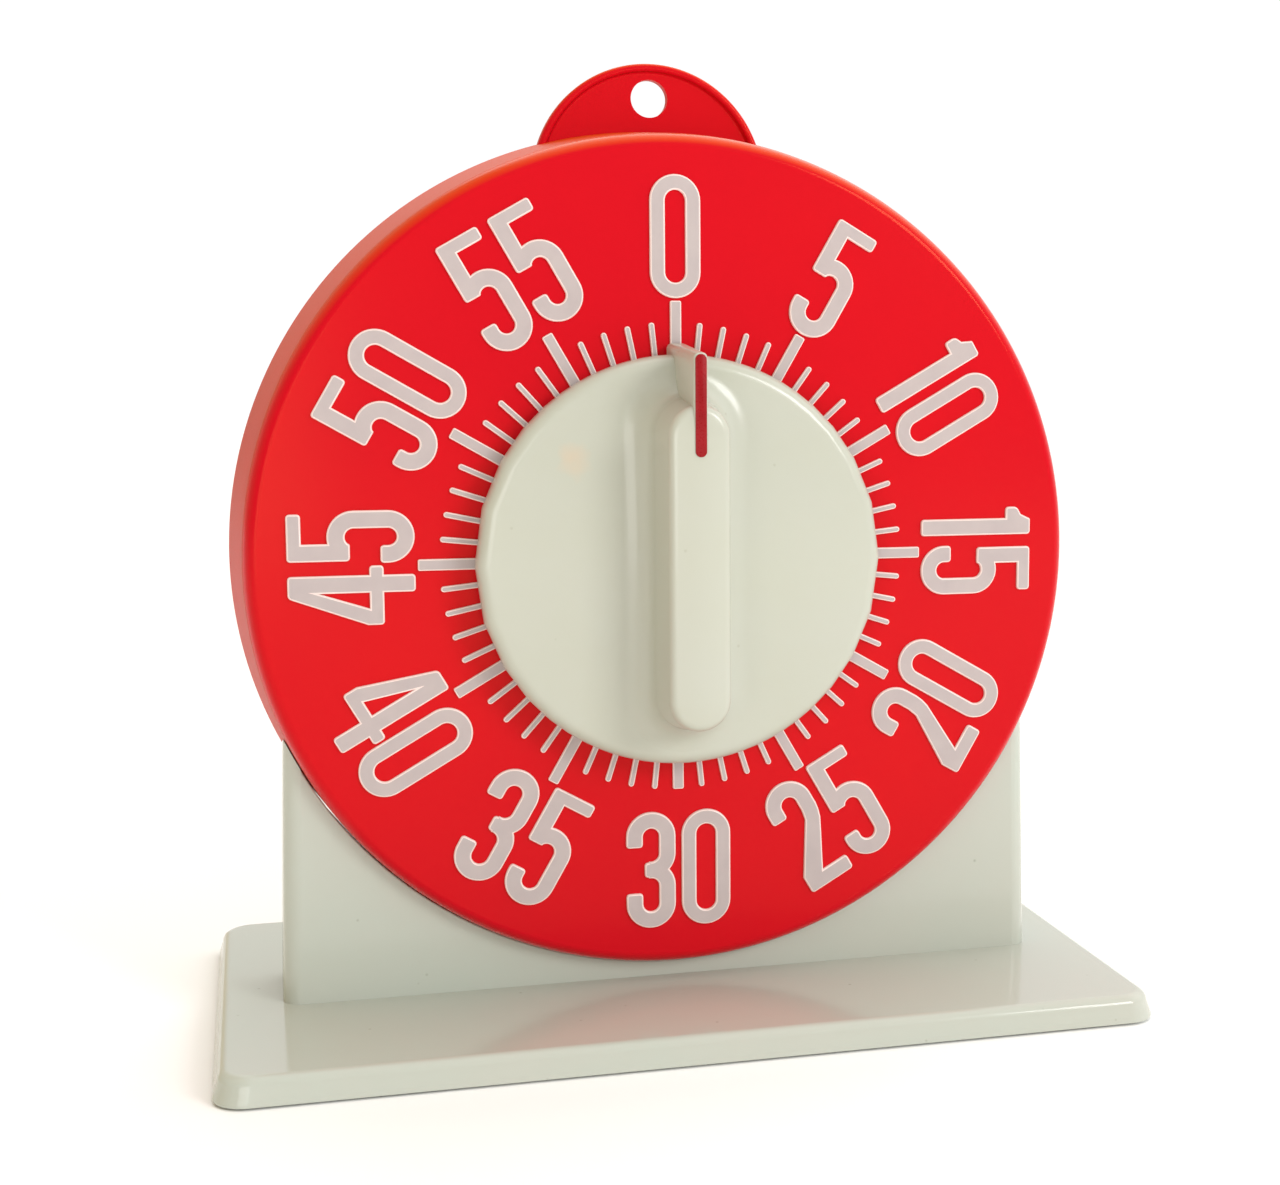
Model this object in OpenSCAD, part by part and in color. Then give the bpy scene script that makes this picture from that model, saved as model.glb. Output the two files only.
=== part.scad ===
// Large 60-minute bell timer: a round case on a pedestal, wound by its dial knob.
// The row frame has its origin at the middle of the base, +Z up and the dial facing -Y.
// Most pieces are drawn in the dial's own frame, where +X is right, +Y is up, +Z points out
// of the dial and 0 is the middle of the dial face. Depths are measured back from that face.

/* [Case] */
// Radius of the case at its rim
rim_r = 92; // [88:1:112]
// Depth of the case, dial face to back edge
case_depth = 30; // [29:0.5:40]
// How far the side wall flares out between rim and back edge
case_flare = 2.78; // [0:0.1:4]
// Width of the rolled rim, measured across the dial
rim_roll_r = 3.2; // [1.5:0.1:5]
// Depth of the rolled rim
rim_roll_d = 4.7; // [2:0.1:7]
// Wall thickness of the case
case_wall = 2.4; // [1.8:0.1:3.5]
// Thickness of the back cover
cover_t = 2.2; // [1.5:0.1:3.5]
// Radial play of the back cover in its seat
cover_play = 0.25; // [0.1:0.05:0.6]
// Width of the sound slots in the back cover
slot_w = 3; // [2:0.25:4]
// Number of sound slots
slot_count = 7; // [3:2:9]

/* [Hanging tab] */
// Radius of the tab
tab_r = 26.7; // [20:0.1:32]
// Height of the tab's arc centre above the dial centre, measured down from the rim
tab_sink = 9; // [4:0.5:16]
// Thickness of the tab
tab_t = 2.4; // [1.5:0.1:4]
// Height of the lip on the tab's edge
tab_lip = 1.2; // [0:0.1:2]
// Radius of the hanging hole
hang_r = 4.2; // [2.5:0.1:6]
// Distance from the hanging hole's centre to the tab's top
hang_edge = 7.7; // [6:0.1:12]

/* [Numerals] */
// Height of a numeral
num_h = 26.4; // [20:0.1:30]
// Width of a digit
num_w = 11.15; // [9:0.05:13]
// Stroke of a digit
num_stroke = 3.75; // [2.5:0.05:4.5]
// Thickness of a numeral's level bars
num_bar = 3; // [2:0.05:4]
// Gap between two digits
num_gap = 1.4; // [0.8:0.1:3]
// Distance from the rim to the numerals
num_margin = 9.1; // [6:0.1:14]
// Height that numerals and marks stand above the dial
raised = 0.7; // [0.3:0.1:1]
// Width of a minute mark
tick_w = 1.24; // [0.8:0.02:1.6]
// Width of a five-minute mark
tick_major_w = 2.45; // [1.8:0.05:3.5]
// Gap between the five-minute marks and the numerals
tick_gap = 0.5; // [0.3:0.1:2]
// How much shorter a minute mark is than a five-minute mark
tick_short = 4.45; // [2:0.05:7]

/* [Knob] */
// Radius of the knob
knob_r = 44.5; // [38:0.5:47]
// Height of the knob's rim above the dial
knob_h = 9; // [7:0.25:12]
// Clearance under the knob
knob_gap = 1.2; // [0.9:0.1:2]
// Wall thickness of the knob
knob_wall = 2.2; // [1.5:0.1:3]
// Height of the grip above the dial
grip_h = 25.4; // [20:0.1:30]
// Width of the grip at its front
grip_w = 13.1; // [10:0.1:16]
// Length of the grip
grip_len = 68.5; // [50:0.5:76]
// Thickness of the pointer fin at its front
fin_t = 3; // [2:0.1:4]
// Thickness added to the fin at its foot
fin_flare = 1.5; // [0:0.1:2]
// How far the pointer's foot reaches past the knob's edge
fin_reach = 2.4; // [0.5:0.1:3]
// How far the pointer's end leans back from foot to front
fin_rake = 2; // [0:0.1:3]
// Width of the red inlay on the pointer
inlay_w = 2.4; // [1.5:0.1:3]

/* [Stand] */
// Depth of the base plate
base_d = 112; // [100:1:140]
// Height of the base plate
base_h = 6.2; // [5:0.1:10]
// How far the base plate reaches past each side of the pedestal
base_margin = 14.4; // [8:0.1:30]
// Outward flare of the base plate's edge
base_flare = 1.2; // [0:0.1:2.5]
// Depth of the pedestal, front to back
ped_d = 24.8; // [22:0.1:40]
// Angle from straight down at which the saddle ends
saddle_reach = 66.9; // [50:0.1:72]
// Slope of the pedestal's ends, in degrees from upright
ped_draft = 1.5; // [0:0.1:3]
// Wall thickness of the stand
stand_wall = 2.6; // [2:0.1:4]
// Clearance between case and saddle
saddle_play = 0.3; // [0.15:0.05:0.6]
// Least thickness left under the saddle
web_t = 0.56; // [0.4:0.02:3]

/* [Movement] */
// Teeth on each wheel
wheel_teeth = 60; // [48:4:72]
// Leaves on each pinion
pinion_leaves = 12; // [12:1:14]
// Teeth on the main wheel
main_teeth = 72; // [60:12:84]
// Module of the main wheel
main_m = 0.5; // [0.4:0.05:0.55]
// Module of the second wheel
second_m = 0.45; // [0.35:0.05:0.5]
// Module of the third wheel
third_m = 0.4; // [0.3:0.05:0.45]
// Height of the pillars between the plates
pillar_h = 11; // [11:0.5:14]
// Thickness of the movement plates
plate_t = 1; // [0.8:0.1:1.5]
// Radius of the winding arbor
arbor_r = 3; // [2.5:0.1:3.5]
// Radial play of a pivot in its hole
pivot_play = 0.05; // [0.02:0.01:0.09]
// Coils in the mainspring
spring_coils = 8; // [5:1:10]

/* [Alarm] */
// Radius of the bell
bell_r = 26; // [20:0.5:27]
// Height of the bell
bell_h = 8.5; // [6:0.5:11]
// Wall thickness of the bell
bell_t = 1; // [0.8:0.1:1.5]
// Radius of the hammer head
hammer_r = 3.5; // [2.5:0.1:4]
// Gap between hammer and bell when the hammer hangs at rest
strike_gap = 3; // [2:0.1:4]
// Radius of the ring cam
cam_r = 9; // [8:0.25:10]

/* [Hidden] */
$fn = 96;
CREAM = [0.79, 0.80, 0.73];
RED = [0.85, 0.09, 0.1];

// Case and dial, in the dial's frame
back_r = rim_r + case_flare;
face_r = rim_r - rim_roll_r;
inner_r = rim_r - case_wall;
seat_depth = cover_t + 0.3;
seat_r = back_r - case_wall / 2;
cover_r = seat_r - cover_play;
tab_y = rim_r - tab_sink;
hang_y = tab_y + tab_r - hang_edge;
num_out = rim_r - num_margin;
num_in = num_out - num_h;
tick_out = num_in - tick_gap;
tick_in = knob_r - 3.5;
tab_lip_w = 1.8;
one_flag = 2.6;
one_bearing = 0.9;
one_w = one_flag + num_stroke + one_bearing;
boss_r = 3.6;
side_boss_h = 9;
cover_screw_at = inner_r - boss_r - 3;
cover_screw_angles = [38, 142, 218, 322];
arbor_hole_r = arbor_r + 1.5;

// Screws: shank, head and the holes they need
pilot_r = 1.3;
shank_r = pilot_r - 0.05;
clear_r = pilot_r + 0.3;
head_r = 3;
head_h = 1.6;
small_head_r = 2.6;
small_head_h = 1.3;
recess_w = 0.7;

// Knob
knob_edge_r = 3;
knob_waist = 4.3;
knob_dome = 1.3;
grip_draft = 1.5;
grip_edge = 3;
grip_foot_w = 5;
grip_foot_h = 5;
fin_overlap = 10.8;
fin_in = grip_len / 2 - fin_overlap;
fin_foot_out = knob_r + fin_reach;
fin_front_out = fin_foot_out - fin_rake;
inlay_t = 0.25;
inlay_margin = 0.3;
hub_r = 6.4;
hub_depth = 13;
arbor_flat = arbor_r - 0.8;
clip_w = 1;
clip_h = 2.6;
washer_t = 0.8;

// Stand
saddle_front_r = rim_r + saddle_play;
saddle_back_r = back_r + saddle_play;
dial_z = base_h + web_t + saddle_back_r;
ped_front = -ped_d / 2;
dial_y = ped_front - rim_roll_d - 0.3;
saddle_mid_r = (saddle_front_r + saddle_back_r) / 2;
ped_half = saddle_mid_r * sin(saddle_reach);
ped_top = dial_z - saddle_mid_r * cos(saddle_reach);
base_half = ped_half + base_margin;
ped_corner_r = 3.6;
base_corner_r = 6;
base_edge = 1.6;
base_edge_in = 0.8;
rim_lift = 0.4;
floor_z = base_h - stand_wall;
rib_t = 1.6;
socket_r = 5.5;
base_head_z = 3.2;
post_x = ped_half - 16;
foot_x = base_half - 13;
foot_y = base_d / 2 - 13;
foot_r = 6;
case_screw_angle = 35;
side_head_at = saddle_back_r + stand_wall + 0.2;

// Movement layers, as depths behind the dial face
front_plate_d = case_wall + 3.6;
back_plate_d = front_plate_d + plate_t + pillar_h;
gear_floor = front_plate_d + plate_t;
main_d = gear_floor + 0.8;
ratchet_d = main_d + 1;
second_d = main_d + 2.6;
spring_d = main_d + 4.2;
third_d = main_d + 4.8;
escape_d = main_d + 7;
lever_d = main_d + 8.2;
cam_d = back_plate_d - 1.4;
plate_left = -34;
plate_right = 34;
plate_low = -32;
plate_high = 42;
pillars = [[-19, -27], [19, -27], [29, 37], [-29, 37]];
ears = [[-39, -8], [39, -8], [39, 26], [-39, 26]];
plate_corner_r = 6;
ear_r = 4.2;
pillar_r = 2.5;
pillar_peg_r = 1.5;
peg_r = 0.8;
press_play = 0.02;
main_t = 1;
wheel_t = 0.8;
wheel_rim = 1.6;
spoke_w = 2;
pivot_r = 0.6;
axle_r = 0.9;

// Train. Each wheel's centre follows from the modules, and its phase puts it in mesh
addendum = 0.75;
dedendum = 1.1;
backlash = 0.05;
pressure = 20;
second_angle = 60;
third_angle = 150;
escape_angle = 200;
second_at = polar(main_m * (main_teeth + pinion_leaves) / 2, second_angle);
third_at = second_at + polar(second_m * (wheel_teeth + pinion_leaves) / 2, third_angle);
escape_at = third_at + polar(third_m * (wheel_teeth + pinion_leaves) / 2, escape_angle);
second_phase = mesh_phase(0, main_teeth, pinion_leaves, second_angle);
third_phase = mesh_phase(second_phase, wheel_teeth, pinion_leaves, third_angle);
escape_phase = mesh_phase(third_phase, wheel_teeth, pinion_leaves, escape_angle);
escape_teeth = 16;
escape_r = 6.5;
pallet_angle = 215;
pallet_reach = 9.2;
pallet_at = escape_at + polar(pallet_reach, pallet_angle);
pallet_pin_r = 0.4;
pallet_pin_orbit = escape_r + pallet_pin_r + 0.12;
pallet_half_span = 1.5 * 360 / escape_teeth;

// Winding and click
ratchet_teeth = 16;
ratchet_r = 6.5;
ratchet_root = 5.4;
click_at = [0, 10.5];
click_nose = polar(5.85, 50);
click_t = 0.9;
ratchet_turn = 3;
rivet_r = 0.7;
spring_rivet_at = [-8.4, 5.6];
spring_rivet_r = 0.5;
stop_r = 0.4;
stop_orbit = 16.2;
stop_angle = -90;
stop_pin_angle = stop_angle - 3;
spring_in = arbor_r + 1.1;
spring_out = 10.6;
spring_strip = 0.35;
spring_strip_w = 4.2;
spring_end_angle = 225;
spring_post_at = polar(spring_out + 1.5, spring_end_angle);
spring_post_r = 1.1;

// Alarm
bell_at = [0, -(inner_r - 3.6 - bell_r)];
bell_rim_d = 14;
bell_top_d = bell_rim_d + bell_h;
bell_crown_r = 8;
bell_post_r = 3;
strike_angle = 25;
hammer_at = [25, -13];
head_at = bell_at + polar(bell_r + hammer_r + strike_gap, strike_angle);
finger_angle = -60;
finger_tip = polar(cam_r + 1.1, finger_angle);
finger_tip_r = 0.8;
hammer_t = 0.9;
hammer_peg_r = 1;
hammer_stop_at = hammer_at + [4.6, -10];
bell_seat_d = bell_top_d - bell_t;
bell_screw_head_r = 4;

function polar(r, a) = [r * cos(a), r * sin(a)];

// Phase of a follower, so that a tooth of the driver meets a gap of the follower
function mesh_phase(driver_phase, driver_teeth, teeth, direction) =
    direction + 180 - (0.5 - (direction - driver_phase) * driver_teeth / 360) * 360 / teeth;

// Half the angle that an involute tooth fills at radius r
function involute_lag(r, base) =
    r <= base ? 0 : let (t = sqrt(pow(r / base, 2) - 1)) t * 180 / PI - atan(t);
function tooth_half(r, pitch, base, teeth) =
    90 / teeth - backlash / 2 / pitch * 180 / PI
    + involute_lag(pitch, base) - involute_lag(r, base);

function gear_points(teeth, m, phase) =
    let (
        pitch = teeth * m / 2,
        base = pitch * cos(pressure),
        tip = pitch + addendum * m,
        root = pitch - dedendum * m,
        radii = [root, max(root + 0.01, base), pitch, (pitch + tip) / 2, tip]
    )
    [for (k = [0 : teeth - 1], side = [-1, 1], i = [0 : 4])
        let (r = side < 0 ? radii[i] : radii[4 - i])
        polar(r, phase + k * 360 / teeth + side * tooth_half(r, pitch, base, teeth))];

// Places children from the dial's frame into the row's frame
module on_dial() {
    translate([0, dial_y, dial_z]) rotate([90, 0, 0]) children();
}

// A flat slab whose front lies depth d behind the dial face
module slab(d, t) {
    translate([0, 0, -(d + t)]) linear_extrude(t) children();
}

module rod(at, d, length, r) {
    slab(d, length) translate(at) circle(r);
}

module gear(teeth, m, phase, d, t, bore) {
    slab(d, t) difference() {
        polygon(gear_points(teeth, m, phase));
        circle(bore);
    }
}

// A wheel with spokes cut out between its hub and its rim
module spoked_wheel(at, teeth, m, phase, d, bore, hub_r) {
    rim = teeth * m / 2 - dedendum * m - wheel_rim;
    translate([at.x, at.y, 0]) slab(d, wheel_t) difference() {
        polygon(gear_points(teeth, m, phase));
        circle(bore);
        difference() {
            circle(rim);
            circle(hub_r);
            for (k = [0 : 1])
                rotate(phase + 90 * k) square([2 * rim + 1, spoke_w], center = true);
        }
    }
}

// An axle with a pinion cut on it and a pivot at each end
module pinion_arbor(at, m, phase, d, length) {
    translate([at.x, at.y, 0]) slab(d, length) polygon(gear_points(pinion_leaves, m, phase));
    axle(at);
}

// A plain axle between the plates, with a thinner pivot at each end
module axle(at) {
    rod(at, gear_floor + 0.3, pillar_h - 0.6, axle_r);
    rod(at, front_plate_d + 0.1, pillar_h + 2 * plate_t - 0.2, pivot_r);
}

// A cross-recess screw: its head sits at z = 0 and up, its shank runs down
module screw(r, h, length) {
    reach = 0.6 * r;
    difference() {
        union() {
            cylinder(r = r, h = h);
            translate([0, 0, -length]) cylinder(r = shank_r, h = length + h / 2);
        }
        for (turn = [0, 90]) rotate([0, 0, turn])
            translate([-reach, -recess_w / 2, 0.45 * h]) cube([2 * reach, recess_w, h]);
    }
}

// A screw driven from behind: the underside of its head lies depth d behind the dial face
module rear_screw(at, d, r, h, length) {
    translate([at.x, at.y, -d]) mirror([0, 0, 1]) screw(r, h, length);
}

module rounded_rect(low, high, r) {
    translate([low.x + r, low.y]) square([high.x - low.x - 2 * r, high.y - low.y]);
    translate([low.x, low.y + r]) square([high.x - low.x, high.y - low.y - 2 * r]);
    for (x = [low.x + r, high.x - r], y = [low.y + r, high.y - r]) translate([x, y]) circle(r);
}

// Outline of the cup's wall, turned about the dial's axis
module case_profile() {
    rim_arc = [for (a = [0 : 10 : 90])
        [face_r + rim_roll_r * sin(a), -rim_roll_d * (1 - cos(a))]];
    seat = -case_depth + seat_depth;
    polygon(concat(
        [[arbor_hole_r, -case_wall], [arbor_hole_r, 0]],
        rim_arc,
        [[back_r, -case_depth], [seat_r, -case_depth], [seat_r, seat],
         [back_r - case_wall, seat], [inner_r - 0.4, -rim_roll_d], [face_r - 1, -case_wall]]
    ));
}

module tab_outline(grow) {
    difference() {
        translate([0, tab_y]) circle(tab_r + grow);
        circle(back_r - case_wall / 3);
    }
}

module case_boss(at, r, depth) {
    slab(case_wall / 2, depth - case_wall / 2) translate(at) circle(r);
}

module radial_boss() {
    for (side = [-1, 1]) rotate([0, 0, side * case_screw_angle])
        translate([0, -rim_r + case_wall / 2, -case_depth / 2])
        rotate([-90, 0, 0]) cylinder(r = boss_r + 1, h = side_boss_h);
}

module radial_pilot(r) {
    for (side = [-1, 1]) rotate([0, 0, side * case_screw_angle])
        translate([0, -saddle_back_r - stand_wall - 6, -case_depth / 2])
        rotate([-90, 0, 0]) cylinder(r = r, h = stand_wall + 16);
}

module case() {
    color(RED) on_dial() difference() {
        union() {
            rotate_extrude() case_profile();
            slab(case_depth - tab_t, tab_t) tab_outline(0);
            slab(case_depth - tab_t - tab_lip, tab_lip) difference() {
                tab_outline(0);
                tab_outline(-tab_lip_w);
            }
            for (a = cover_screw_angles)
                case_boss(polar(cover_screw_at, a), boss_r, case_depth - seat_depth);
            for (at = ears) case_boss(at, boss_r, front_plate_d);
            case_boss(bell_at, boss_r + 1.4, front_plate_d + 2);
            radial_boss();
        }
        rod([0, hang_y], case_depth - tab_t - 2, tab_t + 4, hang_r);
        for (a = cover_screw_angles)
            rod(polar(cover_screw_at, a), case_depth - seat_depth - 10, 12, pilot_r);
        for (at = ears) rod(at, case_wall, front_plate_d, pilot_r);
        rod(bell_at, case_wall, front_plate_d + 2, bell_post_r - 0.95);
        radial_pilot(pilot_r);
    }
}

// Digits are drawn in a box num_w wide and num_h tall, with its corner at 0
module stadium(low, w, h) {
    translate([low.x + w / 2, low.y + w / 2]) circle(w / 2);
    translate([low.x + w / 2, low.y + h - w / 2]) circle(w / 2);
    translate([low.x, low.y + w / 2]) square([w, h - w]);
}

module ring_bowl(y, h, stroke) {
    difference() {
        stadium([0, y], num_w, h);
        stadium([stroke, y + stroke], num_w - 2 * stroke, h - 2 * stroke);
    }
}

// A zero has a slightly thinner stroke than the other digits
module digit_0() {
    ring_bowl(0, num_h, num_stroke - 0.4);
}

module digit_1() {
    bar_x = one_flag;
    translate([bar_x, 0]) square([num_stroke, num_h]);
    polygon([
        [0, num_h - 6], [bar_x + 0.5, num_h - 6],
        [bar_x + 0.5, num_h], [bar_x + 0.2, num_h],
        [bar_x - 0.9, num_h - 2.3], [0, num_h - 3.2]
    ]);
}

module digit_2() {
    bowl_y = num_h - num_w / 2;
    intersection() {
        ring_bowl(num_h - 1.6 * num_w, 1.6 * num_w, num_stroke);
        translate([0, bowl_y]) square([num_w, num_w]);
    }
    translate([0, bowl_y - 2.4]) square([num_stroke, 2.5]);
    translate([num_w - num_stroke, bowl_y - 2.8]) square([num_stroke, 2.9]);
    polygon([
        [num_w, bowl_y - 2.8], [num_w - num_stroke, bowl_y - 2.8],
        [num_w - num_stroke - 0.4, bowl_y - 5], [0, num_stroke + 0.6], [0, 0],
        [num_stroke + 1, num_stroke * 0.9], [num_w - 0.7, bowl_y - 6.2],
        [num_w - 0.2, bowl_y - 4.4]
    ]);
    square([num_w, num_stroke * 0.95]);
}

module digit_3() {
    half = num_h / 2;
    cut_x = num_stroke + 1.3;
    nib_h = num_stroke - 0.35;
    difference() {
        for (y = [0, half - num_stroke / 2]) ring_bowl(y, half + num_stroke / 2, num_stroke);
        translate([-1, 8]) square([cut_x + 1, num_h - 16]);
    }
    translate([num_stroke + 0.4, half - nib_h / 2]) square([1.2, nib_h]);
}

module digit_4() {
    stem = num_w - num_stroke - 1.1;
    low = 6.6;
    left = -0.6;
    translate([stem, 0]) square([num_stroke, num_h]);
    translate([left, low]) square([num_w + 0.9 - left, num_bar]);
    difference() {
        polygon([
            [left, low], [stem + 0.1, low], [stem + 0.1, num_h],
            [stem - 0.9, num_h], [left, low + num_bar + 0.4]
        ]);
        polygon([[2.9, low + num_bar], [stem, low + num_bar], [stem, num_h - 6.4]]);
    }
}

module digit_5() {
    bowl_h = num_h * 0.69;
    stem_x = 0.5;
    stem_low = num_h * 0.51;
    stub_top = 7.2;
    stem_w = num_stroke - 0.35;
    difference() {
        ring_bowl(0, bowl_h, num_stroke);
        translate([-1, stub_top]) square([stem_x + stem_w + 1.3, num_h]);
    }
    translate([stem_x, stem_low]) square([stem_w + 0.32, num_h - stem_low]);
    translate([stem_x, num_h - num_bar]) square([num_w - 0.6 - stem_x, num_bar]);
}

module digit(n) {
    if (n == 0) digit_0();
    if (n == 1) digit_1();
    if (n == 2) digit_2();
    if (n == 3) digit_3();
    if (n == 4) digit_4();
    if (n == 5) digit_5();
}

function digit_w(n) = n == 1 ? one_w : num_w;

// One number, centred on x = 0 and standing on y = 0
module number(n) {
    tens = floor(n / 10);
    units = n % 10;
    total = n < 10 ? digit_w(units) : digit_w(tens) + num_gap + digit_w(units);
    if (n >= 10) translate([-total / 2, 0]) digit(tens);
    translate([total / 2 - digit_w(units), 0]) digit(units);
}

module dial_numerals() {
    color("white") on_dial() linear_extrude(raised)
        for (n = [0 : 5 : 55]) {
            upright = n <= 15 || n >= 45;
            rotate(-6 * n + (upright ? 0 : 180)) translate([0, upright ? num_in : -num_out]) number(n);
        }
}

module minute_marks() {
    color("white") on_dial() linear_extrude(raised)
        for (n = [0 : 59]) rotate(-6 * n) {
            major = n % 5 == 0;
            w = major ? tick_major_w : tick_w;
            out = major && n != 30 ? tick_out : tick_out - tick_short;
            translate([-w / 2, tick_in]) square([w, out - tick_in - (major ? 0 : w / 2)]);
            if (!major) translate([0, out - w / 2]) circle(w / 2);
        }
}

module back_cover() {
    d = case_depth - seat_depth;
    color("gainsboro") on_dial() difference() {
        slab(d, cover_t) circle(cover_r);
        for (k = [0 : slot_count - 1]) {
            y = (k - (slot_count - 1) / 2) * 2 * slot_w;
            half = sqrt(pow(bell_r - 3, 2) - y * y);
            slab(d - 1, cover_t + 2) translate([0, bell_at.y + y]) {
                square([2 * half, slot_w], center = true);
                for (side = [-1, 1]) translate([side * half, 0]) circle(slot_w / 2);
            }
        }
        for (a = cover_screw_angles) {
            rod(polar(cover_screw_at, a), d - 1, cover_t + 2, clear_r + 0.1);
            rod(polar(cover_screw_at, a), d + cover_t - 1, 2, head_r + 0.2);
        }
    }
}

module cover_screws() {
    d = case_depth - seat_depth + cover_t - 1;
    color("silver") on_dial() for (a = cover_screw_angles)
        rear_screw(polar(cover_screw_at, a), d, head_r, head_h, 9);
}

// Outline of the knob's skirt and domed face
module knob_profile() {
    edge = knob_edge_r;
    flat = knob_r - edge;
    polygon(concat(
        [[0, knob_gap], [knob_r - 0.4, knob_gap], [knob_r, knob_waist]],
        [for (a = [0 : 15 : 90]) [flat + edge * cos(a), knob_h - edge + edge * sin(a)]],
        [for (share = [0.8, 0.6, 0.4, 0.2, 0])
            [flat * share, knob_h + knob_dome * (1 - share * share)]]
    ));
}

// The grip bar with rounded ends, drawn inset from its outside
module grip_bar(inset, low) {
    w = grip_w / 2 - inset;
    reach = grip_len / 2 - grip_w / 2;
    top = grip_h - inset;
    hull() for (side = [-1, 1]) translate([0, side * reach, 0]) {
        translate([0, 0, low]) cylinder(r = w + grip_draft, h = 0.1, $fn = 32);
        translate([0, 0, top - grip_edge]) cylinder(r = w, h = 0.1, $fn = 32);
        translate([0, 0, top - 0.1]) cylinder(r = w - grip_edge * 2 / 3, h = 0.1, $fn = 32);
    }
}

module grip_foot() {
    reach = grip_len / 2 - grip_w / 2;
    hull() for (side = [-1, 1]) translate([0, side * reach, 0]) {
        translate([0, 0, knob_h - 0.6]) cylinder(r = grip_w / 2 + grip_foot_w, h = 0.1, $fn = 32);
        translate([0, 0, knob_h + grip_foot_h])
            cylinder(r = grip_w / 2 + grip_draft + 0.1, h = 0.1, $fn = 32);
    }
}

// The fin's end leans back and its sides draw in from foot to front
module pointer_fin() {
    foot = fin_t + fin_flare;
    hull() {
        translate([-foot / 2, fin_in, knob_gap]) cube([foot, fin_foot_out - fin_in, 0.1]);
        translate([-fin_t / 2, fin_in, grip_h - 0.1]) cube([fin_t, fin_front_out - fin_in, 0.1]);
    }
}

module knob() {
    color(CREAM) on_dial() difference() {
        union() {
            difference() {
                union() {
                    rotate_extrude() knob_profile();
                    grip_foot();
                    grip_bar(0, knob_h - 0.5);
                }
                difference() {
                    translate([0, 0, knob_gap - 0.01])
                        cylinder(r = knob_r - knob_wall, h = knob_h - knob_wall - knob_gap);
                    translate([0, 0, knob_gap - 0.02]) cylinder(r = hub_r, h = knob_h);
                }
                difference() {
                    grip_bar(knob_wall, knob_h - knob_wall - 0.5);
                    cylinder(r = hub_r, h = grip_h);
                }
            }
            pointer_fin();
        }
        d_bore();
    }
}

// Bore with a flat, for the winding arbor
module d_bore() {
    half = arbor_r + 1;
    intersection() {
        translate([0, 0, knob_gap - 1])
            cylinder(r = arbor_r + pivot_play, h = hub_depth - knob_gap + 1.2);
        translate([-half, -half, -1]) cube([2 * half, half + arbor_flat + pivot_play, grip_h]);
    }
}

module pointer_inlay() {
    color("firebrick") on_dial() translate([-inlay_w / 2, fin_in, grip_h])
        cube([inlay_w, fin_front_out - inlay_margin - fin_in, inlay_t]);
}

module knob_clip() {
    color("silver") on_dial() translate([0, 0, knob_gap]) difference() {
        cylinder(r = hub_r + clip_w, h = clip_h);
        translate([0, 0, -1]) cylinder(r = hub_r + 0.05, h = clip_h + 2);
        translate([-1, 0, -1]) cube([2, hub_r + 2 * clip_w, clip_h + 2]);
    }
}

module dial_washer() {
    color("dimgray") on_dial() difference() {
        cylinder(r = hub_r + clip_w, h = washer_t);
        translate([0, 0, -1]) cylinder(r = arbor_hole_r + 0.1, h = washer_t + 2);
    }
}

module arbor_bushing() {
    color("goldenrod") on_dial() difference() {
        union() {
            slab(0.2, front_plate_d + plate_t - 0.2) circle(arbor_hole_r - 0.2);
            slab(case_wall + 0.2, 2) circle(arbor_hole_r + 2);
        }
        rod([0, 0], -1, front_plate_d + plate_t + 2, arbor_r + pivot_play);
    }
}

module ped_slab(z, h, half, depth, r) {
    translate([0, 0, z]) linear_extrude(h)
        rounded_rect([-half, -depth / 2], [half, depth / 2], r, $fn = 32);
}

module ped_block(inset, low) {
    half = ped_half - inset;
    depth = ped_d - 2 * inset;
    r = ped_corner_r - inset / 2;
    hull() {
        ped_slab(low, 0.1, half, depth, r);
        ped_slab(ped_top - 0.1, 0.1, half - (ped_top - low) * tan(ped_draft), depth, r);
    }
}

// The case's flared outside, grown by a margin, as a cone along the dial's axis
module saddle_cone(grow) {
    flare = case_flare / (case_depth - rim_roll_d);
    front = rim_roll_d + 0.3;
    over = 10;
    on_dial() translate([0, 0, -front - ped_d - over])
        cylinder(
            r1 = saddle_front_r + grow + flare * (ped_d + over),
            r2 = saddle_front_r + grow - flare * over,
            h = ped_d + 2 * over
        );
}

module post(x, y, z, r, h) {
    translate([x, y, z]) cylinder(r = r, h = h);
}

module pedestal() {
    color(CREAM) difference() {
        ped_block(0, base_h);
        saddle_cone(0);
        difference() {
            ped_block(stand_wall, base_h - 1);
            saddle_cone(stand_wall);
            for (side = [-1, 1]) post(side * post_x, 0, base_h - 1, boss_r + 0.4, ped_top);
        }
        for (side = [-1, 1]) post(side * post_x, 0, base_h - 1, pilot_r, 14);
        on_dial() radial_pilot(clear_r);
    }
}

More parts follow.
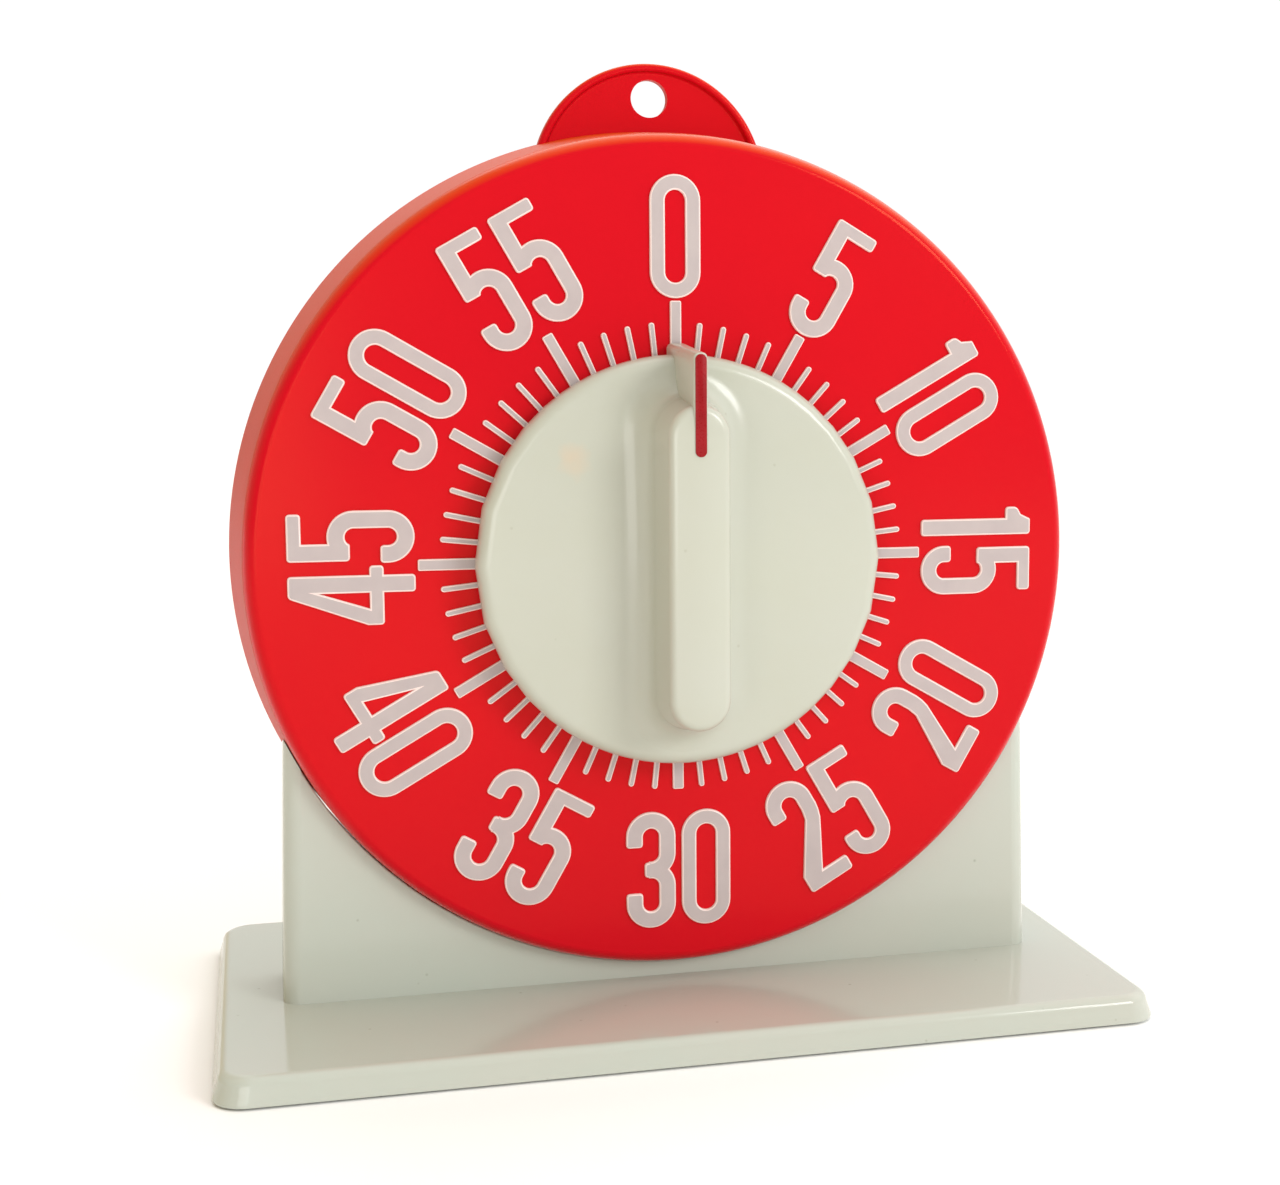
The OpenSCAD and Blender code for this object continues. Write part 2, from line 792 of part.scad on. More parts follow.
module base_plate() {
    edge_in = base_flare * 0.7;
    top_in = base_flare + base_edge_in;
    hollow = [base_half - stand_wall, base_d / 2 - stand_wall];
    color(CREAM) difference() {
        hull() {
            ped_slab(rim_lift, 0.1, base_half, base_d, base_corner_r);
            ped_slab(base_h - base_edge, 0.1, base_half - edge_in, base_d - 2 * edge_in, base_corner_r);
            ped_slab(base_h - 0.1, 0.1, base_half - top_in, base_d - 2 * top_in, base_corner_r);
        }
        difference() {
            translate([0, 0, -1]) linear_extrude(floor_z + 1)
                rounded_rect(-hollow, hollow, base_corner_r - stand_wall);
            base_ribs();
            for (side = [-1, 1]) post(side * post_x, 0, 1, socket_r, base_h);
        }
        for (side = [-1, 1]) {
            post(side * post_x, 0, -1, clear_r, base_h + 2);
            post(side * post_x, 0, -1, head_r + 0.3, base_head_z + 1);
        }
        for (x = [-foot_x, foot_x], y = [-foot_y, foot_y]) post(x, y, -1, foot_r + 0.1, floor_z + 1);
    }
}

// Stiffening ribs under the base plate, along both directions
module base_ribs() {
    for (share = [-0.6, -0.3, 0, 0.3, 0.6])
        translate([share * base_half - rib_t / 2, -base_d / 2, 1]) cube([rib_t, base_d, base_h]);
    for (share = [-0.25, 0.25])
        translate([-base_half, share * base_d - rib_t / 2, 1]) cube([2 * base_half, rib_t, base_h]);
}

module rubber_feet() {
    color("dimgray") for (x = [-foot_x, foot_x], y = [-foot_y, foot_y]) post(x, y, 0, foot_r, floor_z);
}

module base_screws() {
    color("silver") for (side = [-1, 1])
        translate([side * post_x, 0, base_head_z]) mirror([0, 0, 1]) screw(head_r, head_h, 14);
}

module case_screws() {
    color("silver") on_dial() for (side = [-1, 1]) rotate([0, 0, side * case_screw_angle])
        translate([0, -side_head_at, -case_depth / 2])
        rotate([90, 0, 0]) screw(head_r, head_h, stand_wall + 8);
}

module plate_outline(with_ears) {
    rounded_rect([plate_left, plate_low], [plate_right, plate_high], plate_corner_r);
    if (with_ears) for (at = ears) {
        translate(at) circle(ear_r);
        translate([at.x > 0 ? 0 : at.x, at.y - ear_r]) square([abs(at.x), 2 * ear_r]);
    }
}

// Holes for the pivots of every arbor that runs in both plates
module pivot_holes() {
    for (at = [second_at, third_at, escape_at, pallet_at, hammer_at])
        translate(at) circle(pivot_r + pivot_play);
}

module front_plate() {
    color("silver") on_dial() slab(front_plate_d, plate_t) difference() {
        plate_outline(true);
        circle(arbor_hole_r - 0.15);
        pivot_holes();
        for (at = ears) translate(at) circle(clear_r);
        for (at = pillars) translate(at) circle(pillar_peg_r);
        translate(polar(stop_orbit, stop_angle)) circle(stop_r);
    }
}

module back_plate() {
    color("silver") on_dial() slab(back_plate_d, plate_t) difference() {
        plate_outline(false);
        circle(arbor_r / 2 + pivot_play);
        pivot_holes();
        for (at = pillars) translate(at) circle(pilot_r + 0.1);
        for (at = [spring_post_at, hammer_stop_at]) translate(at) circle(peg_r);
    }
}

module plate_pillars() {
    color("silver") on_dial() for (at = pillars) difference() {
        union() {
            rod(at, gear_floor, pillar_h, pillar_r);
            rod(at, front_plate_d, plate_t + 1, pillar_peg_r - press_play);
        }
        rod(at, back_plate_d - 5, 6, pilot_r);
    }
}

module pillar_screws() {
    color("silver") on_dial() for (at = pillars)
        rear_screw(at, back_plate_d + plate_t, small_head_r, small_head_h, 4.5);
}

module movement_screws() {
    color("silver") on_dial() for (at = ears)
        rear_screw(at, front_plate_d + plate_t, small_head_r, small_head_h, 4);
}

module winding_arbor() {
    back_pivot_r = arbor_r / 2;
    color("silver") on_dial() difference() {
        union() {
            rod([0, 0], -hub_depth, hub_depth + back_plate_d - 0.3, arbor_r);
            rod([0, 0], back_plate_d - 1, plate_t + 1.6, back_pivot_r);
        }
        translate([-arbor_r - 1, arbor_flat, 1]) cube([2 * arbor_r + 2, arbor_r, hub_depth]);
    }
}

module main_wheel() {
    color("goldenrod") on_dial() slab(main_d, main_t) difference() {
        polygon(gear_points(main_teeth, main_m, 0));
        circle(arbor_r + press_play);
        translate(click_at) circle(rivet_r + press_play);
        translate(spring_rivet_at) circle(spring_rivet_r + press_play);
        translate(polar(stop_orbit, stop_pin_angle)) circle(stop_r + press_play);
    }
}

module ratchet_wheel() {
    step = 360 / ratchet_teeth;
    color("silver") on_dial() slab(ratchet_d, main_t) difference() {
        polygon([for (k = [0 : ratchet_teeth - 1], low = [0, 1])
            polar(low == 0 ? ratchet_r : ratchet_root, k * step + ratchet_turn + low)]);
        circle(arbor_r + press_play);
    }
}

module click() {
    along = (click_nose - click_at) / norm(click_nose - click_at);
    across = [-along.y, along.x];
    color("silver") on_dial() slab(ratchet_d + 0.05, click_t) difference() {
        union() {
            translate(click_at) circle(1.6);
            polygon([
                click_at - 1.1 * across, click_nose - 0.15 * across,
                click_nose + 0.35 * across, click_at + 1.1 * across
            ]);
        }
        translate(click_at) circle(rivet_r + pivot_play);
    }
}

module click_rivet() {
    color("goldenrod") on_dial() {
        rod(click_at, main_d, 2 * main_t + 0.05, rivet_r);
        rod(click_at, ratchet_d + main_t, 0.35, 1.3);
    }
}

module click_spring() {
    tip = click_at + [-1.6 - 0.3 - 0.3, 1];
    color("silver") on_dial() {
        slab(ratchet_d + 0.1, 0.7) {
            translate(spring_rivet_at) circle(0.9);
            polygon([
                spring_rivet_at + [-0.2, 0.1], spring_rivet_at + [0.2, -0.1],
                tip + [0.15, -2.2], tip + [0.3, 0], tip, tip + [-0.25, -2]
            ]);
        }
        rod(spring_rivet_at, main_d, 1.2, spring_rivet_r);
    }
}

// Spiral strip, wound about the arbor
function spiral(coils, from, to, offset) =
    [for (a = [0 : 15 : 360 * coils]) polar(from + (to - from) * a / (360 * coils) + offset, a)];

module mainspring() {
    outer = spiral(spring_coils, spring_in, spring_out, spring_strip);
    inner = spiral(spring_coils, spring_in, spring_out, 0);
    count = len(inner);
    color("slategray") on_dial() slab(spring_d, spring_strip_w)
        rotate(spring_end_angle + 12)
        polygon(concat(outer, [for (k = [count - 1 : -1 : 0]) inner[k]]));
}

module spring_post() {
    color("silver") on_dial() {
        rod(spring_post_at, spring_d - 0.4, back_plate_d - spring_d + 0.4, spring_post_r);
        rod(spring_post_at, back_plate_d - 1, plate_t + 1, peg_r - press_play);
    }
}

module stop_pin() {
    color("silver") on_dial() rod(polar(stop_orbit, stop_pin_angle), gear_floor + 0.1, 1.6, stop_r);
}

module stop_post() {
    color("silver") on_dial()
        rod(polar(stop_orbit, stop_angle), front_plate_d, plate_t + 0.7, stop_r - press_play);
}

module second_arbor() {
    color("silver") on_dial() pinion_arbor(second_at, main_m, second_phase, main_d - 0.4, 1.8);
}

module third_arbor() {
    color("silver") on_dial() pinion_arbor(third_at, second_m, third_phase, second_d - 0.4, 1.6);
}

module escape_arbor() {
    color("silver") on_dial() pinion_arbor(escape_at, third_m, escape_phase, third_d - 0.4, 1.6);
}

module second_wheel() {
    color("goldenrod") on_dial()
        spoked_wheel(second_at, wheel_teeth, second_m, second_phase, second_d, axle_r + press_play, 3.4);
}

module third_wheel() {
    color("goldenrod") on_dial()
        spoked_wheel(third_at, wheel_teeth, third_m, third_phase, third_d, axle_r + press_play, 3.2);
}

module escape_wheel() {
    step = 360 / escape_teeth;
    color("goldenrod") on_dial() translate([escape_at.x, escape_at.y, 0])
        slab(escape_d, wheel_t) difference() {
            polygon([for (k = [0 : escape_teeth - 1], end = [0, 1, 2])
                polar([escape_r, 4.7, 4.7][end], pallet_angle + k * step + [0, 4, 14][end])]);
            circle(axle_r + press_play);
        }
}

module pallet_arbor() {
    color("silver") on_dial() axle(pallet_at);
}

// The lever carries two pins that reach into the escape wheel's plane, and a weight
module pallet_lever() {
    color("goldenrod") on_dial() {
        slab(lever_d, wheel_t) difference() {
            union() {
                translate(pallet_at) circle(2.2);
                translate(pallet_at) rotate(pallet_angle + 90) square([16, 2], center = true);
                for (side = [-1, 1]) {
                    arm(pallet_at, pallet_pin(side), 0.9);
                    translate(pallet_at + polar(side * 7, pallet_angle + 90)) circle(1.8);
                }
            }
            translate(pallet_at) circle(axle_r + press_play);
        }
        for (side = [-1, 1])
            rod(pallet_pin(side), escape_d - 0.3, lever_d - escape_d + 0.5, pallet_pin_r);
    }
}

function pallet_pin(side) = escape_at + polar(pallet_pin_orbit, pallet_angle + side * pallet_half_span);

// A flat arm with slightly wider round ends between two points
module arm(a, b, half) {
    along = (b - a) / norm(b - a);
    across = [-along.y, along.x] * (half - 0.05);
    translate(a) circle(half);
    translate(b) circle(half);
    polygon([a - across, b - across, b + across, a + across]);
}

// A notch in the cam lets the hammer's finger drop
module ring_cam() {
    notch = [cam_r - 2.8, cam_r + 1];
    color("silver") on_dial() slab(cam_d, hammer_t) difference() {
        circle(cam_r);
        circle(arbor_r + press_play);
        rotate(finger_angle)
            polygon([[notch.x, -1.8], [notch.y, -3.4], [notch.y, 3.4], [notch.x, 1.8]]);
    }
}

module hammer_arbor() {
    color("silver") on_dial() axle(hammer_at);
}

module hammer_arm() {
    color("silver") on_dial() slab(cam_d, hammer_t) difference() {
        union() {
            translate(hammer_at) circle(2.4);
            arm(hammer_at, head_at, 1.3);
            arm(hammer_at, finger_tip, finger_tip_r);
        }
        translate(hammer_at) circle(axle_r + press_play);
        translate(head_at) circle(hammer_peg_r);
    }
}

module hammer_head() {
    color("goldenrod") on_dial() {
        rod(head_at, cam_d - 4.6, 4.6, hammer_r);
        rod(head_at, cam_d - 1, hammer_t + 1.4, hammer_peg_r - press_play);
    }
}

// A post on the back plate that the hammer's arm rests near
module hammer_stop() {
    color("silver") on_dial() {
        rod(hammer_stop_at, cam_d - 2, back_plate_d - cam_d + 2, 1);
        rod(hammer_stop_at, back_plate_d - 1, plate_t + 1, peg_r - press_play);
    }
}

module bell() {
    outer = [for (a = [0 : 10 : 90])
        [bell_crown_r + (bell_r - bell_crown_r) * cos(a), bell_h * sin(a)]];
    inner = [for (a = [90 : -10 : 0])
        [bell_crown_r + (bell_r - bell_crown_r - bell_t) * cos(a), (bell_h - bell_t) * sin(a)]];
    hole = bell_post_r - 1;
    color("lightsteelblue") on_dial() translate([bell_at.x, bell_at.y, -bell_rim_d]) mirror([0, 0, 1])
        rotate_extrude() polygon(concat(
            outer, [[hole, bell_h], [hole, bell_h - bell_t]], inner
        ));
}

module bell_post() {
    foot_d = front_plate_d + 2;
    color("goldenrod") on_dial() difference() {
        union() {
            rod(bell_at, foot_d, bell_seat_d - foot_d, bell_post_r);
            rod(bell_at, case_wall + 0.2, foot_d - case_wall, bell_post_r - 1);
        }
        rod(bell_at, bell_seat_d - 6, 7, pilot_r);
    }
}

module bell_screw() {
    color("silver") on_dial() rear_screw(bell_at, bell_top_d, bell_screw_head_r, head_h, 5.5);
}

case();
dial_numerals();
minute_marks();
back_cover();
cover_screws();
knob();
pointer_inlay();
knob_clip();
dial_washer();
arbor_bushing();
pedestal();
base_plate();
rubber_feet();
base_screws();
case_screws();
front_plate();
back_plate();
plate_pillars();
pillar_screws();
movement_screws();
winding_arbor();
main_wheel();
ratchet_wheel();
click();
click_rivet();
click_spring();
mainspring();
spring_post();
stop_pin();
stop_post();
second_arbor();
second_wheel();
third_arbor();
third_wheel();
escape_arbor();
escape_wheel();
pallet_arbor();
pallet_lever();
ring_cam();
hammer_arbor();
hammer_arm();
hammer_head();
hammer_stop();
bell();
bell_post();
bell_screw();
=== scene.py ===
"""Looks of a large sixty-minute bell timer on its stand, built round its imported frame.

The timer is a round red case with a hanging tab, raised white numerals and minute marks,
and a cream winding knob with a grip bar and a pointer. It sits in the saddle of a pedestal
on a base plate. Lengths are in metres, in the row frame: +Z up, the dial facing -Y.
Shapes that belong to the dial are drawn in the dial's own frame, with x to the right, y up
and z out of the dial, and are placed by DialFrame.
"""

import logging
import math
from collections.abc import Callable, Iterable, Sequence
from dataclasses import dataclass, field
from enum import Enum
from typing import Any

import bmesh
import bpy
from bmesh.types import BMesh
from bpy.types import Material, Mesh, Node, NodeSocket, NodeTree, Object
from mathutils import Euler, Matrix, Vector


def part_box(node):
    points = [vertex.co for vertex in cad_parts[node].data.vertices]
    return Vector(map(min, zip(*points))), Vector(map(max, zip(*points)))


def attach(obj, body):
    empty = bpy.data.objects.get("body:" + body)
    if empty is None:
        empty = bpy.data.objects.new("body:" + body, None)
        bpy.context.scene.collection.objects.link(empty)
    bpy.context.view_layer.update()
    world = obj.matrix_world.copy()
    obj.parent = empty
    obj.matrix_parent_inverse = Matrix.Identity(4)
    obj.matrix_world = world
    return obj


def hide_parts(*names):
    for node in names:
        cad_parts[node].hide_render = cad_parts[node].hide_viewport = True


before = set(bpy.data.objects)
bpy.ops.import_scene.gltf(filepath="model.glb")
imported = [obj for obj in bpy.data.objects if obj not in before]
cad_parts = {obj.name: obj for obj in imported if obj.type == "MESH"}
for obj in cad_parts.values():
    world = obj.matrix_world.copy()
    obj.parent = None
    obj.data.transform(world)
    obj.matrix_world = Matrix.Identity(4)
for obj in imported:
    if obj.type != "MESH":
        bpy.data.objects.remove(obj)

log = logging.getLogger("bell_timer")

Point = tuple[float, float]
MM = 0.001
TAU = 2 * math.pi
ROOT_BODY = "stand_and_case"
KNOB_BODY = "winder"
CHORD_SLACK = 0.05 * MM
MERGE_NEAR = 0.002 * MM


# --------------------------------------------------------------------------- outlines


def arc(centre: Point, radii: Point, start: float, end: float, steps: int) -> list[Point]:
    """Gives points along a stretch of an ellipse.

    Args:
        centre: Middle of the ellipse.
        radii: Its half width and half height.
        start: First angle, in degrees from the first axis.
        end: Last angle, in degrees.
        steps: Number of steps between the two ends.

    Returns:
        The points, both ends included.
    """
    angles = [math.radians(start + (end - start) * k / steps) for k in range(steps + 1)]
    return [(centre[0] + radii[0] * math.cos(a), centre[1] + radii[1] * math.sin(a)) for a in angles]


def stadium_ring(half_width: float, reach: float, bend: int, run: int) -> list[Point]:
    """Gives a closed outline with two straight sides along y and two round ends.

    Args:
        half_width: Half the width, which is also the radius of the ends.
        reach: Distance of each end's centre from the middle.
        bend: Steps along each round end.
        run: Steps along each straight side.

    Returns:
        The outline, counter-clockwise, starting on the right-hand side.
    """
    top = arc((0, reach), (half_width, half_width), 0, 180, bend)
    low = arc((0, -reach), (half_width, half_width), 180, 360, bend)
    left = [(-half_width, reach - 2 * reach * k / run) for k in range(1, run)]
    right = [(half_width, -reach + 2 * reach * k / run) for k in range(1, run)]
    return top + left + low + right


def rounded_rect_ring(half_x: float, half_y: float, corner: float, steps: int) -> list[Point]:
    """Gives the outline of a rectangle with round corners, counter-clockwise.

    Args:
        half_x: Half the width.
        half_y: Half the depth.
        corner: Radius of the corners.
        steps: Steps along each corner.

    Returns:
        The outline's points.
    """
    places = [(1, 1, 0), (-1, 1, 90), (-1, -1, 180), (1, -1, 270)]
    ring: list[Point] = []
    for side_x, side_y, start in places:
        centre = (side_x * (half_x - corner), side_y * (half_y - corner))
        ring += arc(centre, (corner, corner), start, start + 90, steps)
    return ring


def quarter(steps: int) -> list[Point]:
    """Gives the sine, and one less the cosine, of equal steps from 0 to 90 degrees, 0 left out."""
    angles = [math.radians(90 * k / steps) for k in range(1, steps + 1)]
    return [(math.sin(a), 1 - math.cos(a)) for a in angles]


# --------------------------------------------------------------------------- mesh helpers


def new_object(name: str, mesh: Mesh) -> Object:
    """Links a new object that shows the mesh."""
    obj = bpy.data.objects.new(name, mesh)
    bpy.context.scene.collection.objects.link(obj)
    return obj


def discard(*objects: Object) -> None:
    """Removes helper objects and the meshes that only they used."""
    for obj in objects:
        mesh = obj.data
        bpy.data.objects.remove(obj)
        if isinstance(mesh, Mesh) and mesh.users == 0:
            bpy.data.meshes.remove(mesh)


def edit(mesh: Mesh, change: Callable[[BMesh], None]) -> None:
    """Runs one change on a mesh through bmesh."""
    work = bmesh.new()
    work.from_mesh(mesh)
    change(work)
    work.to_mesh(mesh)
    work.free()
    mesh.update()


def close_up(mesh: Mesh, near: float = 0.004 * MM) -> None:
    """Merges doubles and turns every face outwards."""

    def change(work: BMesh) -> None:
        bmesh.ops.remove_doubles(work, verts=work.verts[:], dist=near)
        bmesh.ops.recalc_face_normals(work, faces=work.faces[:])

    edit(mesh, change)


def shade(mesh: Mesh, sharp_degrees: float = 32.0) -> None:
    """Shades a mesh smooth, apart from edges that turn more than an angle."""
    limit = math.radians(sharp_degrees)

    def change(work: BMesh) -> None:
        for face in work.faces:
            face.smooth = True
        for edge in work.edges:
            edge.smooth = len(edge.link_faces) == 2 and edge.calc_face_angle(0.0) < limit

    edit(mesh, change)


def even_normals(obj: Object) -> Object:
    """Lets an object's large flat faces set the normals of the narrow faces beside them."""
    name = obj.name
    obj.modifiers.new("even_normals", "WEIGHTED_NORMAL").keep_sharp = True
    obj.name = name + "_before"
    return evaluated_copy(obj, name)


def loft(name: str, rings: Sequence[Sequence[Vector]], closed: bool = False) -> Object:
    """Skins a stack of rings that all have the same number of points.

    Args:
        name: Name of the new object.
        rings: The rings, in order along the skin.
        closed: True if the last ring meets the first, and False to cap both ends.

    Returns:
        The new object, with its faces turned outwards.
    """
    count = len(rings[0])
    vertices = [tuple(point) for ring in rings for point in ring]
    pairs = len(rings) if closed else len(rings) - 1
    faces: list[tuple[int, ...]] = []
    for row in range(pairs):
        here, there = row * count, (row + 1) % len(rings) * count
        for k in range(count):
            after = (k + 1) % count
            faces.append((here + k, here + after, there + after, there + k))
    if not closed:
        last = (len(rings) - 1) * count
        faces.append(tuple(range(count)))
        faces.append(tuple(last + k for k in range(count)))
    mesh = bpy.data.meshes.new(name)
    mesh.from_pydata(vertices, [], faces)
    close_up(mesh)
    return new_object(name, mesh)


def evaluated_copy(obj: Object, name: str) -> Object:
    """Turns an object with modifiers into a plain new one, and removes the old one."""
    graph = bpy.context.evaluated_depsgraph_get()
    graph.update()
    mesh = bpy.data.meshes.new_from_object(obj.evaluated_get(graph))
    discard(obj)
    plain = new_object(name, mesh)
    mesh.name = name
    return plain


class Cut(Enum):
    """How one solid changes another."""

    ADD = "UNION"
    REMOVE = "DIFFERENCE"
    KEEP_SHARED = "INTERSECT"


def combine(target: Object, how: Cut, tools: Iterable[Object]) -> Object:
    """Joins solids to a target, or cuts them from it, and removes the tools.

    Args:
        target: The solid that changes.
        how: What each tool does to it.
        tools: Closed solids.

    Returns:
        The new plain object, under the target's name.
    """
    name = target.name
    tools = list(tools)
    for tool in tools:
        modifier = target.modifiers.new(how.name.lower(), "BOOLEAN")
        modifier.object = tool
        modifier.operation = how.value
        modifier.solver = "EXACT"
    target.name = name + "_before"
    result = evaluated_copy(target, name)
    discard(*tools)
    return result


def soften(obj: Object, width: float, segments: int, angle: float) -> Object:
    """Rounds an object's sharp edges for good.

    Args:
        obj: The object, whose mesh is closed.
        width: Width of the rounding.
        segments: Steps across it.
        angle: Edges that turn more than this are rounded, in degrees.

    Returns:
        The new plain object, under the same name.
    """
    name = obj.name
    bevel = obj.modifiers.new("rounding", "BEVEL")
    bevel.width = width
    bevel.segments = segments
    bevel.limit_method = "ANGLE"
    bevel.angle_limit = math.radians(angle)
    bevel.use_clamp_overlap = False
    bevel.miter_outer = "MITER_ARC"
    obj.name = name + "_before"
    return evaluated_copy(obj, name)


def node_copy(node: str, name: str, flat_degrees: float = 0.6) -> Object:
    """Makes a merged copy of a frame node, with its flat faces in one piece each."""
    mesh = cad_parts[node].data.copy()
    mesh.materials.clear()

    def change(work: BMesh) -> None:
        bmesh.ops.remove_doubles(work, verts=work.verts[:], dist=MERGE_NEAR)
        bmesh.ops.dissolve_limit(
            work, angle_limit=math.radians(flat_degrees), verts=work.verts[:], edges=work.edges[:],
            delimit={"NORMAL"},
        )

    edit(mesh, change)
    return new_object(name, mesh)


def solid_boxes(node: str) -> list[tuple[Vector, Vector]]:
    """Finds the box of each separate solid of a frame node, from left to right and bottom to top."""
    work = bmesh.new()
    work.from_mesh(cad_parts[node].data)
    bmesh.ops.remove_doubles(work, verts=work.verts[:], dist=MERGE_NEAR)
    work.verts.ensure_lookup_table()
    seen: set[int] = set()
    boxes = []
    for start in work.verts:
        if start.index in seen:
            continue
        seen.add(start.index)
        queue, found = [start], []
        while queue:
            vertex = queue.pop()
            found.append(vertex.co.copy())
            for edge in vertex.link_edges:
                other = edge.other_vert(vertex)
                if other.index not in seen:
                    seen.add(other.index)
                    queue.append(other)
        low = Vector(min(p[axis] for p in found) for axis in range(3))
        high = Vector(max(p[axis] for p in found) for axis in range(3))
        boxes.append((low, high))
    work.free()
    return sorted(boxes, key=lambda box: (round(box[0].x, 4), round(box[0].z, 4), round(box[0].y, 4)))


@dataclass(frozen=True)
class DialFrame:
    """Where the dial's own frame lies in the row frame.

    Attributes:
        centre: Middle of the dial face, in the row frame.
    """

    centre: Vector

    @classmethod
    def from_frame(cls) -> "DialFrame":
        """Reads the dial's axis from the winding bushing and its face from the case."""
        low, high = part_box("arbor_bushing")
        middle = (low + high) / 2
        return cls(Vector((middle.x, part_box("case")[0].y, middle.z)))

    @property
    def matrix(self) -> Matrix:
        """The turn and shift from the dial's frame to the row frame."""
        return Matrix.Translation(self.centre) @ Matrix.Rotation(math.radians(90), 4, "X")

    def place(self, obj: Object) -> Object:
        """Moves a mesh drawn in the dial's frame to its place in the row frame."""
        obj.data.transform(self.matrix)
        obj.data.update()
        return obj

    def seen_from_dial(self, point: Vector) -> Vector:
        """Gives a row-frame point in the dial's frame."""
        return self.matrix.inverted() @ point


# --------------------------------------------------------------------------- geometry trees


class GeometryTree:
    """A geometry node tree with named inputs, which runs once to make a plain mesh."""

    def __init__(self, name: str) -> None:
        """Starts an empty tree with one geometry output."""
        self.tree = bpy.data.node_groups.new(name, "GeometryNodeTree")
        self.tree.interface.new_socket("Geometry", in_out="OUTPUT", socket_type="NodeSocketGeometry")
        self.enter = self.tree.nodes.new("NodeGroupInput")
        self.leave = self.tree.nodes.new("NodeGroupOutput")
        self.identifiers: dict[str, str] = {}

    def input(self, name: str, kind: str) -> NodeSocket:
        """Adds a named input.

        Args:
            name: Label of the input.
            kind: Socket kind without its prefix, such as Float.

        Returns:
            The socket that gives the input's value inside the tree.
        """
        socket = self.tree.interface.new_socket(name, in_out="INPUT", socket_type="NodeSocket" + kind)
        self.identifiers[name] = socket.identifier
        return self.enter.outputs[name]

    def add(self, kind: str, values: dict[Any, Any] | None = None, **settings: Any) -> Node:
        """Adds a node.

        Args:
            kind: Node type.
            values: Value or source socket for each input, by name or number.
            settings: Properties of the node.

        Returns:
            The node.
        """
        return add_node(self.tree, kind, values, **settings)

    def finish(self, geometry: NodeSocket, material: NodeSocket) -> None:
        """Ends the tree: realises the instances and gives them the material."""
        real = self.add("GeometryNodeRealizeInstances", {"Geometry": geometry})
        dressed = self.add("GeometryNodeSetMaterial", {"Geometry": real.outputs[0], "Material": material})
        self.tree.links.new(dressed.outputs[0], self.leave.inputs[0])

    def run(self, name: str, host: Mesh, values: dict[str, Any]) -> Object:
        """Runs the tree and keeps the result as a plain mesh.

        Args:
            name: Name of the piece.
            host: Mesh that the tree starts from.
            values: Value of each named input.

        Returns:
            The plain object, with no modifier.
        """
        carrier = new_object(name + "_host", host)
        modifier = carrier.modifiers.new(name, "NODES")
        modifier.node_group = self.tree
        for label, value in values.items():
            modifier[self.identifiers[label]] = value
        return evaluated_copy(carrier, name)


def add_node(
    tree: NodeTree, kind: str, values: dict[Any, Any] | None = None, **settings: Any
) -> Node:
    """Adds a node to a shader or geometry tree and fills its inputs.

    Args:
        tree: The tree.
        kind: Node type.
        values: Value or source socket for each input, by name or number.
        settings: Properties of the node.

    Returns:
        The new node.
    """
    node = tree.nodes.new(kind)
    for key, value in settings.items():
        setattr(node, key, value)
    for key, value in (values or {}).items():
        if isinstance(value, NodeSocket):
            tree.links.new(value, node.inputs[key])
        else:
            node.inputs[key].default_value = value
    return node


class Lathe:
    """Turns outlines about the z axis with geometry nodes."""

    def __init__(self) -> None:
        """Builds the tree: the outline is swept round a ring, and poles are merged shut."""
        tree = GeometryTree("lathe")
        profile = tree.input("Outline", "Object")
        ring_radius = tree.input("Ring radius", "Float")
        steps = tree.input("Steps", "Int")
        finish = tree.input("Finish", "Material")
        source = tree.add("GeometryNodeObjectInfo", {"Object": profile})
        outline = tree.add("GeometryNodeMeshToCurve", {"Mesh": source.outputs["Geometry"]})
        ring = tree.add("GeometryNodeCurvePrimitiveCircle", {"Resolution": steps, "Radius": ring_radius})
        swept = tree.add(
            "GeometryNodeCurveToMesh", {"Curve": ring.outputs[0], "Profile Curve": outline.outputs[0]}
        )
        merged = tree.add(
            "GeometryNodeMergeByDistance", {"Geometry": swept.outputs[0], "Distance": MERGE_NEAR}
        )
        tree.finish(merged.outputs[0], finish)
        self.tree = tree

    def turn(self, name: str, outline: Sequence[Point], steps: int, finish: Material) -> Object:
        """Turns a closed outline.

        Args:
            name: Name of the piece.
            outline: Radius and height of each point, round the section.
            steps: Steps round the axis.
            finish: Material of the piece.

        Returns:
            The turned piece, about the z axis.
        """
        ring = max(radius for radius, _ in outline)
        mesh = bpy.data.meshes.new(name + "_outline")
        count = len(outline)
        mesh.from_pydata(
            [(radius - ring, -height, 0) for radius, height in outline],
            [(k, (k + 1) % count) for k in range(count)],
            [],
        )
        outline_object = new_object(name + "_outline", mesh)
        values = {"Outline": outline_object, "Ring radius": ring, "Steps": steps, "Finish": finish}
        piece = self.tree.run(name, bpy.data.meshes.new(name + "_start"), values)
        discard(outline_object)
        close_up(piece.data)
        return piece


